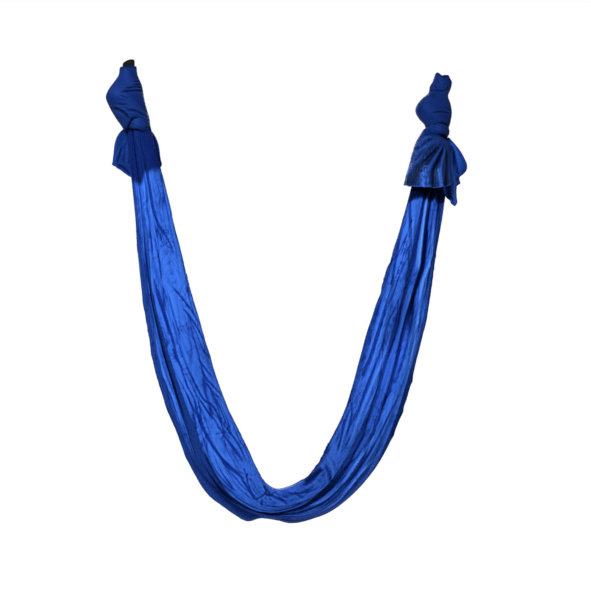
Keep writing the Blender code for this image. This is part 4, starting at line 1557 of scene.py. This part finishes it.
def webbing_loop(name, centre, pinch):
    """A ring of webbing; pinch is how far its sides draw together at the top."""
    low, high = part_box(name)
    outer = (high.z - low.z) / 2
    half = (high.x - low.x) / 2
    bm = bmesh.new()
    rim = [
        (-half, outer - BAND_THICKNESS), (half, outer - BAND_THICKNESS), (half, outer),
        (-half, outer),
    ]
    points = [bm.verts.new((x, 0.0, z)) for x, z in rim]
    edges = [bm.edges.new((points[k], points[(k + 1) % 4])) for k in range(4)]
    bmesh.ops.subdivide_edges(bm, edges=[edges[0], edges[2]], cuts=BAND_CUTS)
    bmesh.ops.spin(
        bm,
        geom=bm.verts[:] + bm.edges[:],
        cent=(0, 0, 0),
        axis=(1, 0, 0),
        angle=2 * math.pi,
        steps=LOOP_STEPS,
        use_merge=True,
    )
    bmesh.ops.remove_doubles(bm, verts=bm.verts, dist=1e-5)
    corners = []
    for edge in bm.edges:
        one, other = edge.verts[0].co, edge.verts[1].co
        if same(abs(one.x), half) and same(one.x, other.x) and same(one.yz.length, other.yz.length):
            corners.append(edge)
    bmesh.ops.bevel(
        bm,
        geom=corners,
        offset=BAND_THICKNESS * SELVAGE,
        offset_type="OFFSET",
        affect="EDGES",
        segments=3,
        profile=0.5,
        material=-1,
    )
    mesh = mesh_from(bm, name + "_webbing")
    place = places_of(mesh)
    angle = np.arctan2(place[:, 2], place[:, 1])
    side = place[:, 0].copy()
    high_share = smooth(place[:, 2] / outer)
    place[:, 0] = side * (1 - pinch * high_share)
    across = side / half
    place[:, 2] += LOOP_SLANT * (1.2 * across - 1.1 * across**2) * high_share
    place += np.array(centre)
    move_vertices(mesh, place)
    return finish_round(name + "_webbing", mesh, angle, side, outer, 0.0)


left_webbing = webbing_loop("left_hang_loop", left_hang, 0.0)
right_webbing = webbing_loop("right_hang_loop", right_hang, 0.20)

# %% [markdown]
# ## Satin tricot
#
# The cloth is nylon tricot: fine knitted yarn with a satin face, dyed royal blue. The material
# reads the height of the wrinkles from the vertices and paints the ridges lighter and the
# furrows deeper blue: painted highlight and painted shade. It adds a net of fine creases painted
# darker, mottling and the knit itself, and mixes in painted shade or painted highlights where
# the shade value asks for it. The knots and tails lie in several layers and turn away from the
# light, so they have darker mixes, as painted shade.

# %% Node helpers
def new_material(name):
    """A new material, its node tree and its shader."""
    material = bpy.data.materials.new(name)
    material.use_nodes = True
    return material, material.node_tree, material.node_tree.nodes["Principled BSDF"]


def feed(tree, socket, value):
    """Link another node's output to an input, or give the input a value of its own."""
    if isinstance(value, bpy.types.NodeSocket):
        tree.links.new(value, socket)
    else:
        socket.default_value = value


def feed_named(tree, node, **inputs):
    """Feed a node's inputs by name, with _ for a space."""
    for name, value in inputs.items():
        feed(tree, node.inputs[name.replace("_", " ")], value)


def add(tree, kind, **inputs):
    """A new node, with some of its inputs fed by name."""
    node = tree.nodes.new("ShaderNode" + kind)
    feed_named(tree, node, **inputs)
    return node


def calculated(tree, operation, *values):
    """The result of a Math node."""
    node = add(tree, "Math")
    node.operation = operation
    for socket, value in zip(node.inputs, values):
        feed(tree, socket, value)
    return node.outputs["Value"]


def mapped(tree, value, **ends):
    """A value moved from one range to another; both are 0 to 1 unless they are named."""
    return add(tree, "MapRange", Value=value, **ends).outputs["Result"]


def stored_value(tree, name):
    """A number that the vertices store."""
    node = add(tree, "Attribute")
    node.attribute_name = name
    return node.outputs["Fac"]


def own_coordinates(tree):
    """The piece's UV map, which is its place on the flat cloth in metres."""
    return add(tree, "UVMap").outputs["UV"]


# %% Cloth colours
# NEARLY_BLACK is the colour of the painted contact shadow. CRINKLE is how much painted shade darkens
# the net of fine creases.
NEARLY_BLACK = (0.0005, 0.0018, 0.0130)
CRINKLE = 0.20  # how much darker the net of fine creases is
MOTTLE = 0.26  # how much the noise changes the place on the colour ramp
DEEPEST, HIGHEST = -0.0034, 0.0022  # the relief at the two ends of the ramp
FACE_AT = 0.60  # where the ramp has the colour of the cloth's face


def mixed_colour(tree, amount, first, second):
    """A mix of a colour socket and a colour, by an amount from 0 to 1."""
    mix = add(tree, "Mix")
    mix.data_type = "RGBA"
    sockets = [socket for socket in mix.inputs if socket.type == "RGBA"]
    feed(tree, mix.inputs[0], amount)
    feed(tree, sockets[0], first)
    feed(tree, sockets[1], (*second, 1.0))
    return [socket for socket in mix.outputs if socket.type == "RGBA"][0]


def crease_net(tree, uv):
    """0 on the lines of a net of fine creases and 1 away from them."""
    stretched = add(tree, "Mapping", Vector=uv, Scale=(1.0, 0.42, 1.0)).outputs["Vector"]
    creased = add(tree, "TexNoise", Vector=stretched, Scale=30.0, Detail=2.0, Distortion=0.6)
    distance = calculated(tree, "ABSOLUTE", calculated(tree, "SUBTRACT", creased.outputs["Fac"], 0.5))
    away = add(tree, "MapRange", Value=distance, From_Max=0.028)
    away.interpolation_type = "SMOOTHSTEP"
    return away.outputs["Result"]


def wrinkle_colour(tree, mottle, away, crinkle, fold, face, crest_highlight):
    """Painted shade in the furrows and fine creases, a painted highlight on the ridges, mottled."""
    spread = mapped(tree, stored_value(tree, "relief"), From_Min=DEEPEST, From_Max=HIGHEST)
    lowered = calculated(tree, "SUBTRACT", spread, MOTTLE / 2 + CRINKLE * crinkle)
    uneven = calculated(tree, "MULTIPLY_ADD", mottle, MOTTLE, lowered)
    marked = calculated(tree, "MULTIPLY_ADD", away, CRINKLE * crinkle, uneven)
    ramp = add(tree, "ValToRGB", Fac=marked)
    ramp.color_ramp.elements[0].color = (*fold, 1.0)
    ramp.color_ramp.elements[1].color = (*crest_highlight, 1.0)
    ramp.color_ramp.elements.new(FACE_AT).color = (*face, 1.0)
    return ramp.outputs["Color"]


def shaded_colour(tree, shade, colour, dark, glint):
    """Painted shade darker towards 1 and nearly black at 2; the glint's painted highlight at -1."""
    deeper = mixed_colour(tree, shade, colour, dark)
    contact = mapped(tree, shade, From_Min=1.0, From_Max=2.0)
    deepest = mixed_colour(tree, contact, deeper, NEARLY_BLACK)
    shining = mapped(tree, shade, From_Min=0.0, From_Max=-1.0)
    return mixed_colour(tree, shining, deepest, glint)


# %% Cloth surface
def cloth_surface(tree, uv, away, crinkle):
    """The normal of the cloth, with fine creases, a crumple and the knit."""
    crumple = add(tree, "TexNoise", Vector=uv, Scale=120.0, Detail=5.0).outputs["Fac"]
    knit = add(tree, "TexWave", Vector=uv, Scale=320.0, Distortion=1.0, Detail=1.0).outputs["Fac"]
    normal = None
    for height, strength, distance in (
        (away, 0.7, 0.0016 * crinkle),
        (crumple, 0.8, 0.0024),
        (knit, 0.15, 0.0002),
    ):
        bump = add(tree, "Bump", Height=height, Strength=strength, Distance=distance)
        if normal is not None:
            feed_named(tree, bump, Normal=normal)
        normal = bump.outputs["Normal"]
    return normal


# %% Cloth material
def satin(name, glint, crest_highlight, face, fold, dark, roughness, crinkle, gloss):
    """Satin knit: painted shade in furrows and gaps, painted highlights, a soft sheen, a fine knit."""
    material, tree, shader = new_material(name)
    uv = own_coordinates(tree)
    shade = stored_value(tree, "shade")
    mottle = add(tree, "TexNoise", Vector=uv, Scale=30.0, Detail=6.0, Roughness=0.65).outputs["Fac"]
    away = crease_net(tree, uv)
    colour = wrinkle_colour(tree, mottle, away, crinkle, fold, face, crest_highlight)
    feed_named(
        tree,
        shader,
        Base_Color=shaded_colour(tree, shade, colour, dark, glint),
        Roughness=mapped(tree, mottle, To_Min=roughness - 0.07, To_Max=roughness + 0.07),
        Normal=cloth_surface(tree, uv, away, crinkle),
        Specular_IOR_Level=mapped(tree, shade, From_Max=2.0, To_Min=gloss, To_Max=0.1 * gloss),
        Specular_Tint=(0.16, 0.39, 1.0, 1.0),
        Sheen_Weight=0.08,
        Sheen_Roughness=0.40,
        Sheen_Tint=(0.10, 0.40, 1.0, 1.0),
    )
    print("cloth finish:", name)
    return material


# %% The four mixes of the cloth
# Painted light in each mix: the glint and ridge colours are painted highlights, the fold and dark
# colours painted shade. The knots, the side tails and the skirt have darker copies of the sling's
# satin, as painted shade.
SHADE_NAVY = (0.0045, 0.0180, 0.130)
sling_satin = satin(
    "sling_satin",
    glint=(0.110, 0.310, 1.000),
    crest_highlight=(0.060, 0.220, 0.900),
    face=(0.038, 0.160, 0.790),
    fold=(0.005, 0.030, 0.300),
    dark=(0.0024, 0.0130, 0.130),
    roughness=0.50,
    crinkle=1.0,
    gloss=0.38,
)
knot_satin = satin(
    "knot_satin",
    glint=(0.0120, 0.0480, 0.290),
    crest_highlight=(0.0080, 0.0340, 0.200),
    face=(0.0042, 0.0205, 0.145),
    fold=(0.0010, 0.0040, 0.034),
    dark=SHADE_NAVY,
    roughness=0.58,
    crinkle=0.25,
    gloss=0.24,
)
side_tail_satin = satin(
    "side_tail_satin",
    glint=(0.0400, 0.1400, 0.520),
    crest_highlight=(0.0190, 0.0800, 0.450),
    face=(0.0145, 0.0630, 0.385),
    fold=(0.0025, 0.0110, 0.090),
    dark=SHADE_NAVY,
    roughness=0.58,
    crinkle=0.25,
    gloss=0.18,
)
skirt_satin = satin(
    "skirt_satin",
    glint=(0.0450, 0.1600, 0.720),
    crest_highlight=(0.0100, 0.0430, 0.260),
    face=(0.0042, 0.0205, 0.145),
    fold=(0.0010, 0.0040, 0.034),
    dark=SHADE_NAVY,
    roughness=0.46,
    crinkle=0.45,
    gloss=0.45,
)

# %% [markdown]
# ## Woven webbing
#
# Webbing is woven in a herringbone of thick flat yarns. Two sets of slanting ribs that meet
# in a zigzag give it, from the band's own coordinates: round the loop and across it.

# %% Webbing material
RIB_FOLD = 0.0032  # from one turn of the zigzag to the next
RIB_SCALE = 300.0


def webbing_finish(name):
    """Slanting ribs that turn back at every fold line, as in a herringbone."""
    material, tree, shader = new_material(name)
    parts = add(tree, "SeparateXYZ", Vector=own_coordinates(tree))
    fold = calculated(tree, "PINGPONG", parts.outputs["Y"], RIB_FOLD)
    slanted = calculated(tree, "ADD", parts.outputs["X"], fold)
    joined = add(tree, "CombineXYZ", X=slanted).outputs["Vector"]
    ribs = add(tree, "TexWave", Vector=joined, Scale=RIB_SCALE).outputs["Fac"]
    ramp = add(tree, "ValToRGB", Fac=ribs)
    ramp.color_ramp.elements[0].color = (0.0008, 0.0008, 0.0020, 1.0)
    ramp.color_ramp.elements[1].color = (0.0045, 0.0048, 0.0080, 1.0)
    feed_named(
        tree,
        shader,
        Base_Color=ramp.outputs["Color"],
        Roughness=0.62,
        Normal=add(tree, "Bump", Height=ribs, Strength=0.7, Distance=0.0005).outputs["Normal"],
        Specular_IOR_Level=0.15,
    )
    print("webbing finish:", name)
    return material


black_webbing = webbing_finish("black_webbing")

# %% [markdown]
# ### Dressing the pieces
#
# All the cloth is one dyed fabric, but each group of pieces takes the mix that suits it. Each
# group is also listed with a slot name, which the script does not use.

# %% Dress the pieces
# The knots, the left tail, the flap and the skirt take darker mixes of the satin: painted shade.
SLING_PIECES = (front_band, front_pleats, front_inner, back_lobe, back_band, back_inner, sling_web)
KNOT_PIECES = (left_knot, right_knot, left_turn, right_turn)
SKIRT_PIECES = (skirt_top, skirt)
for pieces, finish, slot in (
    (SLING_PIECES, sling_satin, "sling_cloth"),
    (KNOT_PIECES, knot_satin, "knot_cloth"),
    ((left_tail, flap), side_tail_satin, "knot_cloth"),
    (SKIRT_PIECES, skirt_satin, "knot_cloth"),
    ((left_webbing, right_webbing), black_webbing, "webbing"),
):
    for piece in pieces:
        piece.data.materials.append(finish)

# %% [markdown]
# ## How the pieces move
#
# A piece that keeps its shape rides on one body. The front's sheets, the web, the left tail,
# the lower skirt and the flap ride on none: their places are fixed in the world.

# %% Riding on the bodies
for piece in (front_band, front_pleats, front_inner):
    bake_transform(piece)
for piece in (back_lobe, back_band, back_inner):
    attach(piece, "sling")
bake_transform(sling_web)
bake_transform(left_tail)
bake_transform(skirt)
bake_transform(flap)
for piece in (left_knot, right_knot, left_turn, right_turn, skirt_top):
    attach(piece, "sling")
for piece in (left_webbing, right_webbing):
    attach(piece, "hangers")

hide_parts("seat_front", "left_strand_front")
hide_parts("right_strand_front")
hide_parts("left_strand_back", "seat_back")
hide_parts("right_strand_back")
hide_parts("left_knot", "left_neck")
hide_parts("right_knot", "right_neck")
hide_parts("left_knot_wrap")
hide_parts("right_knot_wrap")
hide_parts("left_tail")
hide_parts("right_tail_skirt")
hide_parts("right_tail_flap")
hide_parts("left_hang_loop")
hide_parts("right_hang_loop")

# %% [markdown]
# ## Studio
#
# A pale room with one soft key lamp at the upper left, a weak fill from the right, and a lamp
# behind that keeps the back of the cloth from going black. The floor is matt and keeps the
# shadow.

# %% Floor
WHITE = (1.0, 1.0, 1.0, 1.0)
FLOOR_HEIGHT = -2.4
FLOOR_SIZE = 30.0


def stage_material(name, lit, shown):
    """A pale matt surface that the camera sees a little brighter than the lamps make it."""
    material, tree, shader = new_material(name)
    camera_ray = add(tree, "LightPath").outputs["Is Camera Ray"]
    feed_named(
        tree,
        shader,
        Base_Color=(lit, lit, lit, 1.0),
        Roughness=0.9,
        Specular_IOR_Level=0.1,
        Emission_Color=WHITE,
        Emission_Strength=calculated(tree, "MULTIPLY", camera_ray, shown),
    )
    return material


def plane(name, size, height, material):
    """A level square with a material of its own, apart from the hammock's pieces."""
    bm = bmesh.new()
    bmesh.ops.create_grid(bm, x_segments=1, y_segments=1, size=size / 2)
    bmesh.ops.translate(bm, verts=bm.verts, vec=(0, 0, height))
    sheet = put_in_scene(name, mesh_from(bm, name))
    sheet.data.materials.append(material)
    print(name, "at", height, "m")


plane("floor", FLOOR_SIZE, FLOOR_HEIGHT, stage_material("floor_paint", 0.80, 0.85))

# %% Lamps and room
CENTRE = Vector((0.0, 0.0, -0.75))
ROOM_LIGHT = 0.24  # the world lights the object weakly, and the camera sees it white


def area_light(name, location, size, power):
    """A round lamp that points at the middle of the hammock."""
    lamp = bpy.data.lights.new(name, "AREA")
    lamp.shape = "DISK"
    lamp.size = size
    lamp.energy = power
    place_and_turn(put_in_scene(name, lamp), Vector(location), CENTRE)
    print(name, "lamp:", power, "W")


area_light("key", (-2.0, -2.5, 1.3), 1.1, 124.0)
area_light("fill", (2.6, -3.4, -0.4), 2.4, 20.0)
area_light("back", (0.6, 3.6, 0.8), 2.4, 70.0)

world = bpy.data.worlds.new("studio")
bpy.context.scene.world = world
world.use_nodes = True
tree = world.node_tree
rays = add(tree, "LightPath").outputs
seen = calculated(tree, "MAXIMUM", rays["Is Camera Ray"], rays["Is Transmission Ray"])
strength = mapped(tree, seen, To_Min=ROOM_LIGHT, To_Max=1.0)
feed_named(tree, tree.nodes["Background"], Color=WHITE, Strength=strength)
bpy.context.scene.view_settings.view_transform = "Standard"
